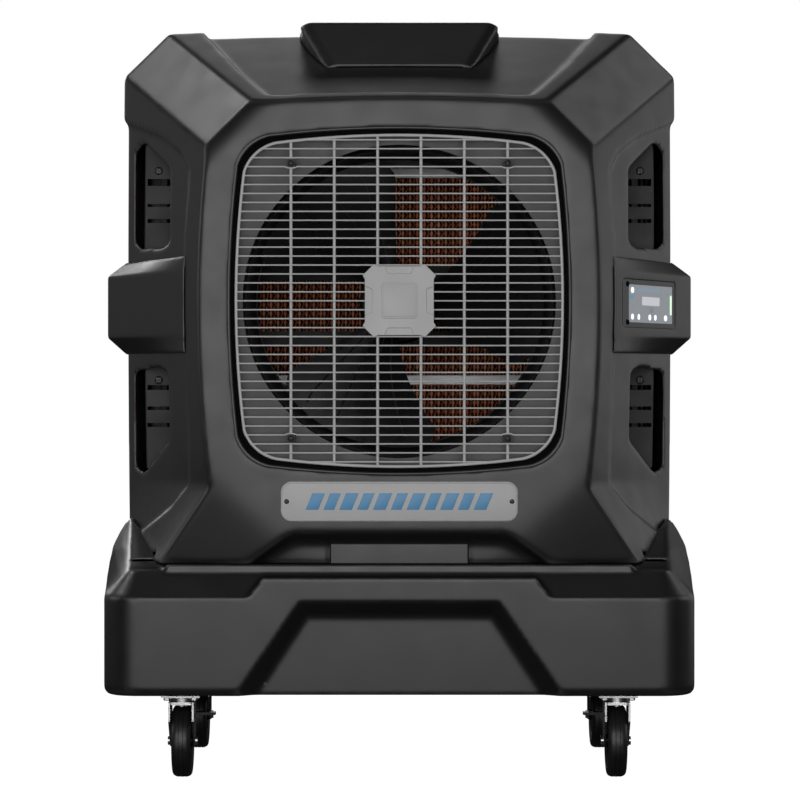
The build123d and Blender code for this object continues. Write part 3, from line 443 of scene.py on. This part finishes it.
CORNER_LINE = ((0.250, 0.500), (0.405, 0.640))
CORNER_SLOPE = 0.21
CORNER_BLEND = 30 * MM
CORNER_TOP, CORNER_FADE = 0.75, 0.1
FACET_LINE = ((0.395, 1.304), (0.300, 1.398))
ROLL_DEPTH, ROLL_FRONT, ROLL_SIDE = 9 * MM, 34 * MM, 90 * MM
FRONT_START, FRONT_FADE = 27 * MM, 170 * MM


def beyond(points, start, end):
    """Distance of each point past the line from start to end, on its right-hand side.

    Both halves of the object count as the right half, in (x, z)."""
    (ax, az), (bx, bz) = start, end
    length = math.hypot(bx - ax, bz - az)
    return ((np.abs(points[:, 0]) - ax) * (bz - az) - (points[:, 2] - az) * (bx - ax)) / length


def hood_corners(points):
    """Lower front corners that fall back as broad facets, and rolled edges towards the upper facets.

    Each press slides along the face behind it, so that face stays flat."""
    depth = points[:, 1] + HALF_DEPTH
    front = np.clip(1 - (depth - FRONT_START) / FRONT_FADE, 0, 1)
    sides = np.sign(points[:, 0])
    past = beyond(points, *CORNER_LINE)
    fall = CORNER_SLOPE * 0.5 * (past + np.sqrt(past ** 2 + CORNER_BLEND ** 2)) - 0.4 * MM
    fall = np.clip(fall, 0, None) * front * np.clip((CORNER_TOP - points[:, 2]) / CORNER_FADE, 0, 1)
    inside = -beyond(points, *FACET_LINE)
    roll = np.where(inside > 0, np.clip(1 - inside / ROLL_FRONT, 0, 1) ** 2,
                    np.clip(1 + inside / ROLL_SIDE, 0, 1))
    roll = ROLL_DEPTH * roll * front
    return np.stack([sides * (0.30 * fall + 0.54 * roll), fall + roll, 0.50 * roll], axis=1)


FLANK_START, FLANK_SLOPE, FLANK_WIDEST = 0.487, 0.30, 0.598
WING_PRESS, WING_REACH = 8 * MM, 0.035
DECK_Z, WING_FADE = 0.437, 0.012


def tank_wings(points):
    """Inner faces of the raised sides, brought up to the flanks of the hood."""
    depth = points[:, 1] + HALF_DEPTH
    flank = np.minimum(FLANK_START + FLANK_SLOPE * np.abs(depth - 15 * MM), FLANK_WIDEST)
    out = np.abs(points[:, 0])
    near = np.clip(1 - (out - flank) / WING_REACH, 0, 1)
    raised = np.clip((points[:, 2] - DECK_Z) / WING_FADE, 0, 1) * (out > flank - 0.02)
    inward = -np.sign(points[:, 0]) * WING_PRESS * near * raised
    return np.stack([inward, 0 * inward, 0 * inward], axis=1)


moulded("hood_shell", "housing", 0.0055, 8, 190000, hood_corners)
moulded("tank_shell", "sump", 0.005, 5, 170000, tank_wings)
moulded("crown_cover", "top_cover", 0.0045, 7, 30000)
moulded("left_side_pod", "left_pod", 0.0035, 8, 30000)
moulded("right_side_pod", "right_pod", 0.0035, 4, 40000)
softened("lower_hatch", CHARCOAL_PART, 0.005, 3)

# Air outlet: lip, shroud, grille, badge

LIP_SECTION = [(9, 16.5), (5.0, 15.0), (2.2, 14.6), (0.6, 15.8), (0.0, 18.5), (0.0, 30), (9, 30)]
SHADE_RING_SECTION = [(5, 31), (-7, 31), (-8.5, 32.5), (-8.5, 36), (5, 36)]


def outlet_trim(half_width, half_height, section):
    """Trim round the outlet; the section is (how far out, depth) in millimetres."""
    trim = Shape()
    trim.rings([[(x, at(depth), z) for x, z in bowed(half_width + out, half_height + out, 24)]
                for out, depth in section], looped=True)
    return trim


lip = outlet_trim(347.5, 352.5, LIP_SECTION)
lip.piece("outlet_lip", CHARCOAL_PART, slot="charcoal_plastic", crisp=45)
# Painted shade: a black ring between the grille border and the lip stands in for the shade deep in the
# outlet.
shade_ring = outlet_trim(348, 353, SHADE_RING_SECTION)
shade_ring.piece("outlet_shade_ring", SEAL_AND_SHADE, slot="black_rubber", crisp=45)
softened("fan_shroud", SHROUD, 0.0015)
softened("orifice_ring", FAN_BLACK, 0.001)
softened("shroud_rim", SHROUD, 0.0015)

WIRE = 1.7 * MM
BORDER = 3.2 * MM
BAR = 3.2 * MM
PITCH = 18.4 * MM
BAR_PITCH = 89.2 * MM
SCREW_X, SCREW_Z = 223 * MM, 283.5 * MM
BULGE = 10.5 * MM
BAR_GAP = 11 * MM
WIRE_Y, BAR_Y, BORDER_Y = at(21.7), at(24.6), at(23.2)

border = bowed(336, 341)
grille = Shape()
grille.tube([(x, BORDER_Y, z) for x, z in border], BORDER, 10, looped=True)
for row in range(-18, 19):
    z = FAN_HEIGHT + row * PITCH
    low, high = reach(border, z, 0)
    path = [(low, WIRE_Y, z)]
    if abs(abs(z - FAN_HEIGHT) - SCREW_Z) < PITCH * 0.75:
        # The wires next to a screw bend round it
        away = math.copysign(1, abs(z - FAN_HEIGHT) - SCREW_Z) * math.copysign(1, z - FAN_HEIGHT)
        room = BULGE - abs(abs(z - FAN_HEIGHT) - SCREW_Z)
        for middle in (-SCREW_X, SCREW_X):
            for k in range(-6, 7):
                bulge = max(0.0, math.cos(0.5 * math.pi * k / 6)) ** 0.8
                path.append((middle + k * 2.1 * MM, WIRE_Y, z + away * room * bulge))
    path.append((high, WIRE_Y, z))
    grille.tube(path, WIRE, 8)
for column in range(6):
    x = (column - 2.5) * BAR_PITCH
    low, high = reach(border, x, 1)
    stops = [low, high]
    if abs(abs(x) - SCREW_X) < 1 * MM:
        lower, upper = FAN_HEIGHT - SCREW_Z, FAN_HEIGHT + SCREW_Z
        stops = [low, lower - BAR_GAP, lower + BAR_GAP, upper - BAR_GAP, upper + BAR_GAP, high]
    for start, end in zip(stops[::2], stops[1::2]):
        grille.tube([(x, BAR_Y, start), (x, BAR_Y, end)], BAR, 10)
grille.piece("grille_wires", GRILLE, slot="grille_wire", stands_for=["front_grille"], crisp=60)


DOME = ((1.0, 0.0), (1.0, 0.45), (0.93, 0.72), (0.8, 0.88), (0.55, 0.97), (0.3, 1.0), (0.12, 1.0))


def screw_heads(name, spots, front, back, radius, node):
    """Domed heads with a cross recess, facing the front or, when front is greater than back, the rear."""
    heads = Shape()
    side = -1 if front < back else 1
    rise = abs(front - back)
    for x, z in spots:
        rings = []
        for share, height in DOME:
            ring = []
            for k in range(32):
                a = 2 * math.pi * k / 32
                cross = abs(math.sin(2 * a)) < 0.45 and share < 0.6
                y = back + side * rise * (height - (0.55 if cross or share < 0.2 else 0.0))
                ring.append((x + radius * share * math.cos(a), y, z + radius * share * math.sin(a)))
            rings.append(ring)
        heads.rings(rings)
    return heads.piece(name, DARK_STEEL, "cabinet", "zinc_steel", [node])


screw_spots = [(sx * SCREW_X, FAN_HEIGHT + sz * SCREW_Z) for sx in (-1, 1) for sz in (-1, 1)]
screw_heads("grille_screw_heads", screw_spots, at(17), at(26), 7 * MM, "grille_screws")

softened("grille_badge", BADGE, 0.0014, 3)
badge_pad = Shape()
for size, radius, front, back, rounding in ((74, 8, 10.6, 13, 1.2), (66, 6, 9.9, 11.4, 0.9)):
    raised = [(x * MM, z * MM + FAN_HEIGHT) for x, z in rounded_box(size, size, radius)]
    badge_pad.slab(raised, at(front), at(back), rounding * MM)
badge_pad.piece("badge_pad", BADGE, slot="badge_plastic", crisp=50)

# Nameplate: plain plate with a row of slanted vanes for an airflow motif

PLATE_Z = 577.5 * MM
PLATE_SCREW_X = 231.4 * MM
VANE_PITCH, VANE_HALF_HEIGHT, VANE_LEAN = 34.5, 17, 7
plate = Shape()
plate_outline = [(x * MM, z * MM + PLATE_Z) for x, z in rounded_box(487, 82, 22, 8)]
plate.slab(plate_outline, at(11.4), at(15), 1.6 * MM)
bead = [(x, at(11.3), z) for x, z in inset(plate_outline, 3.2 * MM)]
plate.tube(bead, 1.1 * MM, 6, looped=True)
plate.piece("nameplate_plate", BADGE, slot="badge_plastic", stands_for=["nameplate"], crisp=50)
vanes = Shape()
for k in range(11):
    middle = (k - 5) * VANE_PITCH
    width = 22 if k % 2 else 26
    left, right = middle - width / 2, middle + width / 2
    vane = [(left - VANE_LEAN, -VANE_HALF_HEIGHT), (right - VANE_LEAN, -VANE_HALF_HEIGHT),
            (right + VANE_LEAN, VANE_HALF_HEIGHT), (left + VANE_LEAN, VANE_HALF_HEIGHT)]
    vanes.slab([(x * MM, z * MM + PLATE_Z) for x, z in vane], at(10.5), at(12), 0.5 * MM)
vanes.piece("nameplate_vanes", BLUE, slot="badge_plastic", crisp=40)
plate_screws = [(-PLATE_SCREW_X, PLATE_Z), (PLATE_SCREW_X, PLATE_Z)]
screw_heads("nameplate_screw_heads", plate_screws, at(8.6), at(12), 5 * MM, "nameplate_screws")

# Fan: three broad twisted blades with stiffening ribs

BLADE_ROOT, BLADE_TIP = 40, 304
FAN_PLANE = 150


def blade_point(radius, across, lift=0.0):
    """Point of the blade that lies along +X; across runs from -1 at one edge to 1 at the other.

    radius and lift are in millimetres."""
    reach_out = (radius - BLADE_ROOT) / (BLADE_TIP - BLADE_ROOT)
    half_angle = math.radians(26 + 13 * reach_out)
    tip = max(0.0, (reach_out - 0.8) / 0.2)
    half_angle *= 1 - 0.22 * tip ** 3
    sweep = math.radians(10 * reach_out)
    angle = half_angle * across + sweep
    half_chord = radius * half_angle
    pitch = math.radians(34 - 17 * reach_out)
    camber = 9 * (1 - across * across)
    depth = FAN_PLANE - across * half_chord * math.sin(pitch) * 0.85 + camber + lift
    return (radius * math.cos(angle) * MM, at(depth), FAN_HEIGHT + radius * math.sin(angle) * MM)


def turned(point, turn):
    """A point turned about the fan axis."""
    c, s = math.cos(turn), math.sin(turn)
    x, y, z = point[0], point[1], point[2] - FAN_HEIGHT
    return (c * x - s * z, y, s * x + c * z + FAN_HEIGHT)


ACROSS, ALONG = 28, 18
BLADE_START = 42
blades = Shape()
for index in range(3):
    turn = index * 2 * math.pi / 3
    rings = []
    for i in range(ALONG + 1):
        radius = BLADE_START + (BLADE_TIP - BLADE_START) * i / ALONG
        front, back = [], []
        for j in range(ACROSS + 1):
            across = -1 + 2 * j / ACROSS
            thick = 2.6 * (1 - abs(across) ** 6) + 0.3
            front.append(turned(blade_point(radius, across, -thick), turn))
            back.append(turned(blade_point(radius, across, thick), turn))
        rings.append(front + back[::-1])
    blades.rings(rings)
    for across in (-0.62, -0.2, 0.22, 0.62):
        path = [turned(blade_point(60 + 225 * i / 14, across, -3.4), turn) for i in range(15)]
        blades.tube(path, 1.8 * MM, 6)
blades.piece("fan_blade_set", FAN_BLACK, "fan", "fan_plastic", ["fan_blades"], crisp=50)
softened("fan_hub", FAN_BLACK, 0.003, 3)
softened("motor_shaft", ZINC, 0)

# Motor with cooling fins

CASE_RADIUS, GROOVE_RADIUS = 85, 78
profile = [(10, 222), (24, 222), (24, 231), (GROOVE_RADIUS, 232), (CASE_RADIUS, 240)]
for k in range(9):
    y = 252 + k * 10
    profile += [(GROOVE_RADIUS, y), (GROOVE_RADIUS, y + 4), (CASE_RADIUS, y + 4.6), (CASE_RADIUS, y + 9.4)]
profile += [(CASE_RADIUS, 352), (GROOVE_RADIUS, 360), (10, 360)]
fins = Shape()
fins.lathe([(r * MM, at(y)) for r, y in profile], (0, 0, FAN_HEIGHT), "Y", 64)
fins.piece("motor_case", MOTOR_PAINT, slot="motor_paint", stands_for=["motor"], crisp=40)
softened("motor_straps", MOTOR_PAINT, 0.0015)
softened("motor_bolts", ZINC, 0.0008)

# Media pads

SHEET_PITCH, WAVE, STEP = 8.1 * MM, 20 * MM, 3.0 * MM
FLUTE_DEPTH = 26 * MM
PAD_OVERLAP = 2.6 * MM
SWING = 2.6 * MM


def fluted(name, node):
    """Pad of beaded upright seams, where sheets are glued, and thin wavy sheets over a core sheet painted
    dark as the shade deep in the flutes.

    Neighbouring pads overlap a little, so that no gap shows between them."""
    low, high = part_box(node)
    left, right = low.x - PAD_OVERLAP, high.x + PAD_OVERLAP
    sheets = round((high.x - low.x + 2 * PAD_OVERLAP) / SHEET_PITCH)
    rows = round((high.z - low.z) / STEP)
    made = Shape()
    made.rings([[(left, y, low.z), (right, y, low.z), (right, y, high.z), (left, y, high.z)]
                for y in (low.y + FLUTE_DEPTH, high.y - FLUTE_DEPTH)])
    core_faces = len(made.faces)
    for sheet in range(sheets):
        middle = left + (sheet + 0.5) * (high.x - low.x + 2 * PAD_OVERLAP) / sheets
        seam = sheet % 2 == 0
        for start, way in ((low.y, 1), (high.y, -1)):
            rings = []
            for row in range(rows + 1):
                z = low.z + row * (high.z - low.z) / rows
                swing = math.cos(2 * math.pi * z / WAVE)
                lean = math.cos(2 * math.pi * (z + 0.5 * FLUTE_DEPTH) / WAVE)
                half = (1.0 + 2.2 * max(0.0, swing)) * MM if seam else 0.6 * MM
                shift, deep = (0, 0) if seam else (SWING * swing, SWING * lean)
                end = start + way * FLUTE_DEPTH
                rings.append([(middle + shift - half, start, z), (middle + shift + half, start, z),
                              (middle + deep + half * 0.5, end, z), (middle + deep - half * 0.5, end, z)])
            made.rings(rings)
    pad = made.piece(name, PAPER, slot="pad_paper", stands_for=[node], crisp=50)
    # The core faces take the painted shade.
    pad.data.materials.append(PAPER_SHADE)
    dark = [int(i < core_faces) for i in range(len(made.faces))]
    pad.data.polygons.foreach_set("material_index", dark)
    return pad


for side_name in ("left", "centre", "right"):
    fluted(f"{side_name}_fluted_pad", f"{side_name}_media_pad")

# Dark lip at the back end of the fan duct, a painted shade that darkens the rim of the media, and the dark
# panel over the top of the media

BACK_LIP = [(331, 0), (331, 4), (304, 4), (300, 3), (298.5, 1), (300, -1.5), (303, -1.5), (305, 0)]
duct_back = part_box("orifice_ring")[1][1]
# Painted shade: the black lip hides the rim of the media, which lies in shade behind the duct.
back_lip = Shape()
back_lip.lathe([(r * MM, d * MM) for r, d in BACK_LIP], (0, duct_back, FAN_HEIGHT), segments=96)
back_lip.piece("duct_shade_lip", FAN_BLACK, slot="fan_plastic", crisp=45)

rail_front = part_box("media_rails")[0][1]
rail_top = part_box("media_rails")[1][2]
CAP_X, CAP_TOP = 0.505, 1.448
cap_front, cap_low = rail_front + 2 * MM, rail_top - 1 * MM
cap = Shape()
cap.slab([(-CAP_X, cap_low), (CAP_X, cap_low), (CAP_X, CAP_TOP), (-CAP_X, CAP_TOP)],
         cap_front, rail_front + 6 * MM, 1.5 * MM)
for level in (28, 56, 84):
    rib_z = rail_top + level * MM
    cap.tube([(-0.5, cap_front, rib_z), (0.5, cap_front, rib_z)], 2 * MM, 8)
cap.piece("media_top_cap", FAN_BLACK, slot="fan_plastic", crisp=35)

# Media frame, water and drain parts

softened("media_frame", SHROUD, 0.002)
softened("media_rails", RAIL_WHITE_LIT, 0.002)
softened("water_header", WHITE, 0)
softened("riser_hose", RUBBER, 0)
softened("pump", GLOSS_BLACK, 0.002)
softened("float_valve", WHITE, 0.001)
softened("float_arm", BRASS, 0)
softened("float_ball", WHITE, 0)
softened("drain_valve", WHITE, 0.0008)
softened("drain_lever", RED, 0.001)

# Vent inserts and their screws

softened("left_vent_insert", INSERT, 0.001)
softened("right_vent_insert", INSERT, 0.001)
vent_spots = [(sx * 519 * MM, z * MM) for sx in (-1, 1) for z in (1280, 829)]
screw_heads("vent_screw_heads", vent_spots, at(327), at(330.5), 9 * MM, "vent_screws")

# Control pod: bezel and screen with a generic layout of tiles

POD_START, POD_END = Vector((0.447, at(75))), Vector((0.635, at(395)))   # (x, y) of the slanted face
RUN = (POD_END - POD_START).normalized()
CONTROL_Z = 989 * MM


def on_pod(run, height, below):
    """Point on the slanted pod face, millimetres along it, above its middle and below its surface."""
    x = POD_START.x + RUN.x * run * MM - RUN.y * below * MM
    y = POD_START.y + RUN.y * run * MM + RUN.x * below * MM
    return (x, y, CONTROL_Z + height * MM)


def tile(shape, run, height, wide, tall, radius, front, back):
    """Rounded tile on the pod face, from front to back millimetres below its surface."""
    outline = rounded_box(wide, tall, radius, 4)
    rings = [[on_pod(run + x, height + z, depth) for x, z in outline] for depth in (back, front)]
    shape.rings(rings)


softened("control_bezel", CHARCOAL_PART, 0.0008)
side_seal = Shape()
tile(side_seal, 54, 0, 21, 92, 3, 1.2, 4)
for end in (-40, 40):
    tile(side_seal, 62, end, 14, 11, 4, 0.4, 3)
side_seal.piece("screen_side_seal", SEAL_AND_SHADE, slot="black_gloss")
softened("touchscreen", lit("screen_ground", (0.34, 0.37, 0.41), 0.26), 0.0004)
SCREEN_MIDDLE = 174
# Colour, glow, and tiles as (along from the middle, height, width, height, corner radius)
layout = {
    "screen_title_band": ((0.20, 0.27, 0.33), 0.55, [(-5, 28, 120, 9, 2)]),
    "screen_panel": ((0.55, 0.55, 0.60), 0.6, [(0, 6, 84, 18, 2)]),
    "screen_icons": ((0.9, 0.93, 1.0), 0.9, [(-88, 28, 14, 12, 5), (-88, -28, 12, 12, 5),
                                             (-58, -28, 11, 12, 5), (-5, -28, 12, 12, 5),
                                             (22, -28, 11, 12, 5), (72, -28, 14, 12, 5)]),
    "screen_level_bar": ((0.62, 0.85, 0.62), 0.9, [(98, 0, 8, 42, 3)]),
    "screen_drop": ((0.22, 0.25, 0.30), 0.4, [(5, -12, 16, 12, 5)]),
    "screen_corner": ((0.10, 0.28, 0.42), 0.5, [(-94, 14, 20, 8, 3)]),
}
for name, (colour, strength, tiles) in layout.items():
    shape = Shape()
    for run, height, wide, tall, radius in tiles:
        tile(shape, SCREEN_MIDDLE + run, height, wide, tall, radius, 1.1, 1.7)
    shape.piece(name, lit(name + "_glow", colour, strength), slot="screen_glass")

# Casters


def hexagon_heads(name, spots, top, bottom, radius, node):
    """Zinc bolt heads that hang below a plate, with a chamfered lower edge."""
    heads = Shape()
    for x, y in spots:
        ring = [(math.cos(math.pi * k / 3), math.sin(math.pi * k / 3)) for k in range(6)]
        levels = ((1.0, top), (1.0, bottom + 1.2 * MM), (0.86, bottom))
        heads.rings([[(x + radius * share * c, y + radius * share * s, z) for c, s in ring]
                     for share, z in levels])
    return heads.piece(name, ZINC, "cabinet", "zinc_steel", [node], crisp=20)


CASTER_X = 452
caster_spots = {}
for end, depth in (("f", 90), ("r", 635)):
    for sign, letter in ((-1, "l"), (1, "r")):
        caster_spots[end + letter] = (sign * CASTER_X * MM, at(depth))

bolt_spots = [(cx + dx * MM, cy + dy * MM)
              for cx, cy in caster_spots.values() for dx in (-28, 28) for dy in (-38, 38)]
hexagon_heads("caster_bolt_heads", bolt_spots, 171 * MM, 165 * MM, 7.5 * MM, "caster_bolts")
softened("caster_plates", ZINC, 0.001)

# Half sections of the tyre and the hub as (radius, distance along the axle)
WHEEL_Z = 75 * MM
TRAIL = 28 * MM
TYRE = [(52, -15.5), (58, -17), (64, -20), (68, -19.6), (71.6, -17.4), (74.2, -12.5), (75, -8), (75, -5.6),
        (74, -5.0), (74, -4.2), (75, -3.6), (75, 3.6), (74, 4.2), (74, 5.0), (75, 5.6), (75, 8), (74.2, 12.5),
        (71.6, 17.4), (68, 19.6), (64, 20), (58, 17), (52, 15.5)]
HUB = [(5.1, -22), (12, -22), (13, -21), (13, -14), (20, -10.5), (38, -10.5), (44, -14), (51.6, -14),
       (51.6, 14), (44, 14), (38, 10.5), (20, 10.5), (13, 14), (13, 21), (12, 22), (5.1, 22)]
for key, (cx, cy) in caster_spots.items():
    centre = (cx, cy + TRAIL, WHEEL_Z)
    tyre = Shape()
    tyre.lathe([(r * MM, x * MM) for r, x in TYRE], centre, "X", 72)
    tyre.piece(f"tyre_tread_{key}", RUBBER, f"wheel_{key}", "caster_tyre", [f"tyre_{key}"], crisp=50)
    core = Shape()
    core.lathe([(r * MM, x * MM) for r, x in HUB], centre, "X", 60)
    for k in range(6):
        a = math.pi * k / 3
        u, v = Vector((0, math.cos(a), math.sin(a))), Vector((0, -math.sin(a), math.cos(a)))
        for side in (-1, 1):
            rings = []
            for out, half in ((12, 3.2), (45, 2.2)):
                spoke = ((9.5, -half), (13.4, -half * 0.7), (13.4, half * 0.7), (9.5, half))
                rings.append([Vector(centre) + Vector((side * x * MM, 0, 0)) + u * out * MM + v * w * MM
                              for x, w in spoke])
            core.rings(rings)
    core.piece(f"wheel_core_{key}", FAN_BLACK, f"wheel_{key}", "fan_plastic", [f"wheel_hub_{key}"], crisp=30)
    softened(f"fork_{key}", ZINC, 0.001)
for key in ("rl", "rr"):
    softened(f"brake_pedal_{key}", DARK_STEEL, 0.0012)

# Rear: guard, screws, fill door, hose inlet, gland

softened("rear_guard", SHROUD, 0.0012)
guard_spots = [(x * MM, z * MM) for x in (-517, 517) for z in (560, 820, 1140, 1400)]
screw_heads("guard_screw_heads", guard_spots, at(744), at(741), 6 * MM, "guard_screws")
softened("fill_door", CHARCOAL_PART, 0.0015)
softened("cord_gland", GLOSS_BLACK, 0.0008)

# Hose inlet: bore, collar and thread, as (radius, depth)
THREAD_PITCH = 2.8
thread = [(6, 702), (9, 702), (9, 712), (20, 712), (20, 715.5), (19.5, 716), (12, 716)]
for k in range(8):
    turn = k * THREAD_PITCH
    thread += [(12.0, 717.4 + turn), (13.2, 718.4 + turn), (13.2, 719.0 + turn), (12.0, 720.0 + turn)]
thread += [(12, 740), (6, 740)]
inlet = Shape()
inlet.lathe([(r * MM, at(depth)) for r, depth in thread], (-0.4, 0, 0.33), "Y", 48)
inlet.piece("hose_thread", BRASS, slot="brass_fitting", stands_for=["hose_inlet"], crisp=30)

# Floor, light and camera

FLOOR = 40
floor_mesh = bpy.data.meshes.new("studio_floor")
floor_corners = [(-FLOOR, -FLOOR, 0), (FLOOR, -FLOOR, 0), (FLOOR, FLOOR, 0), (-FLOOR, FLOOR, 0)]
floor_mesh.from_pydata(floor_corners, [], [(0, 1, 2, 3)])
floor = bpy.data.objects.new("studio_floor", floor_mesh)
scene.collection.objects.link(floor)
pale, nodes, links, shader = blank("pale_floor")
shader.inputs["Base Color"].default_value = (0.12, 0.12, 0.12, 1)
shader.inputs["Roughness"].default_value = 1.0
shader.inputs["Specular IOR Level"].default_value = 0.0
shader.inputs["Emission Color"].default_value = (1, 1, 1, 1)
shader.inputs["Emission Strength"].default_value = 1.0
floor_mesh.materials.append(pale)
# The floor glows for the camera only, so it doesn't light the object from below
floor.visible_diffuse = False
floor.visible_glossy = False

# White surroundings for the camera, and dim ones for everything else
world = bpy.data.worlds.new("studio")
scene.world = world
world.use_nodes = True
tree = world.node_tree
tree.nodes.clear()
output = tree.nodes.new("ShaderNodeOutputWorld")
mix = tree.nodes.new("ShaderNodeMixShader")
rays = tree.nodes.new("ShaderNodeLightPath")
dim = tree.nodes.new("ShaderNodeBackground")
dim.inputs["Strength"].default_value = 0.03
bright = tree.nodes.new("ShaderNodeBackground")
bright.inputs["Color"].default_value = (1, 1, 1, 1)
bright.inputs["Strength"].default_value = 1.0
tree.links.new(rays.outputs["Is Camera Ray"], mix.inputs["Fac"])
tree.links.new(dim.outputs["Background"], mix.inputs[1])
tree.links.new(bright.outputs["Background"], mix.inputs[2])
tree.links.new(mix.outputs["Shader"], output.inputs["Surface"])


def softbox(name, place, aim, width, height, power):
    """Rectangular studio lamp at a place, turned towards aim."""
    lamp = bpy.data.lights.new(name, "AREA")
    lamp.shape = "RECTANGLE"
    lamp.size = width
    lamp.size_y = height
    lamp.energy = power
    holder = bpy.data.objects.new(name, lamp)
    holder.location = place
    holder.rotation_euler = (Vector(aim) - Vector(place)).to_track_quat("-Z", "Y").to_euler()
    holder.visible_camera = False
    scene.collection.objects.link(holder)


# Name, place, aim, width, height, power in watts
LIGHTS = [
    ("front_fill", (-0.4, -5.2, 1.35), (-0.1, 0, 0.9), 4.6, 2.7, 142),
    ("upper_left_key", (-4.6, 1.65, 6.4), (-0.55, 0, 0.9), 1.4, 1.4, 75),
    ("left_rim", (-3.4, 5.4, 3.0), (-0.6, 0.2, 0.6), 1.2, 1.2, 42),
    ("upper_right", (4.2, 2.0, 4.6), (0.5, 0, 1.0), 2.4, 2.0, 24),
    ("right_side", (3.4, 2.0, 1.2), (0.5, 0, 0.9), 3.0, 2.2, 13),
    ("left_side", (-3.4, 2.0, 1.2), (-0.5, 0, 0.9), 3.0, 2.2, 3),
    ("rear_high", (-0.3, 4.4, 4.9), (0, 0, 1.2), 2.6, 1.6, 24),
    ("overhead", (0, -1.0, 6.4), (0, 0, 1.4), 2.2, 2.2, 6),
    ("side_view_right", (5.4, -0.3, 2.2), (0.5, 0, 0.9), 2.6, 2.4, 32),
    ("side_view_left", (-5.4, -0.3, 2.2), (-0.5, 0, 0.9), 2.6, 2.4, 32),
    ("rear_low", (-0.6, 5.2, 1.4), (0, 0, 0.85), 3.0, 1.6, 22),
]
for light in LIGHTS:
    softbox(*light)

CAMERA_DISTANCE, CAMERA_HEIGHT = 6.35, 0.786
camera_data = bpy.data.cameras.new("camera")
camera_data.lens = 139.4
camera_data.sensor_width = 36
camera = bpy.data.objects.new("camera", camera_data)
camera.location = (0.0014, at(0) - CAMERA_DISTANCE, CAMERA_HEIGHT)
camera.rotation_euler = (math.radians(90), 0, 0)
scene.collection.objects.link(camera)
scene.camera = camera
scene.view_settings.view_transform = "Standard"
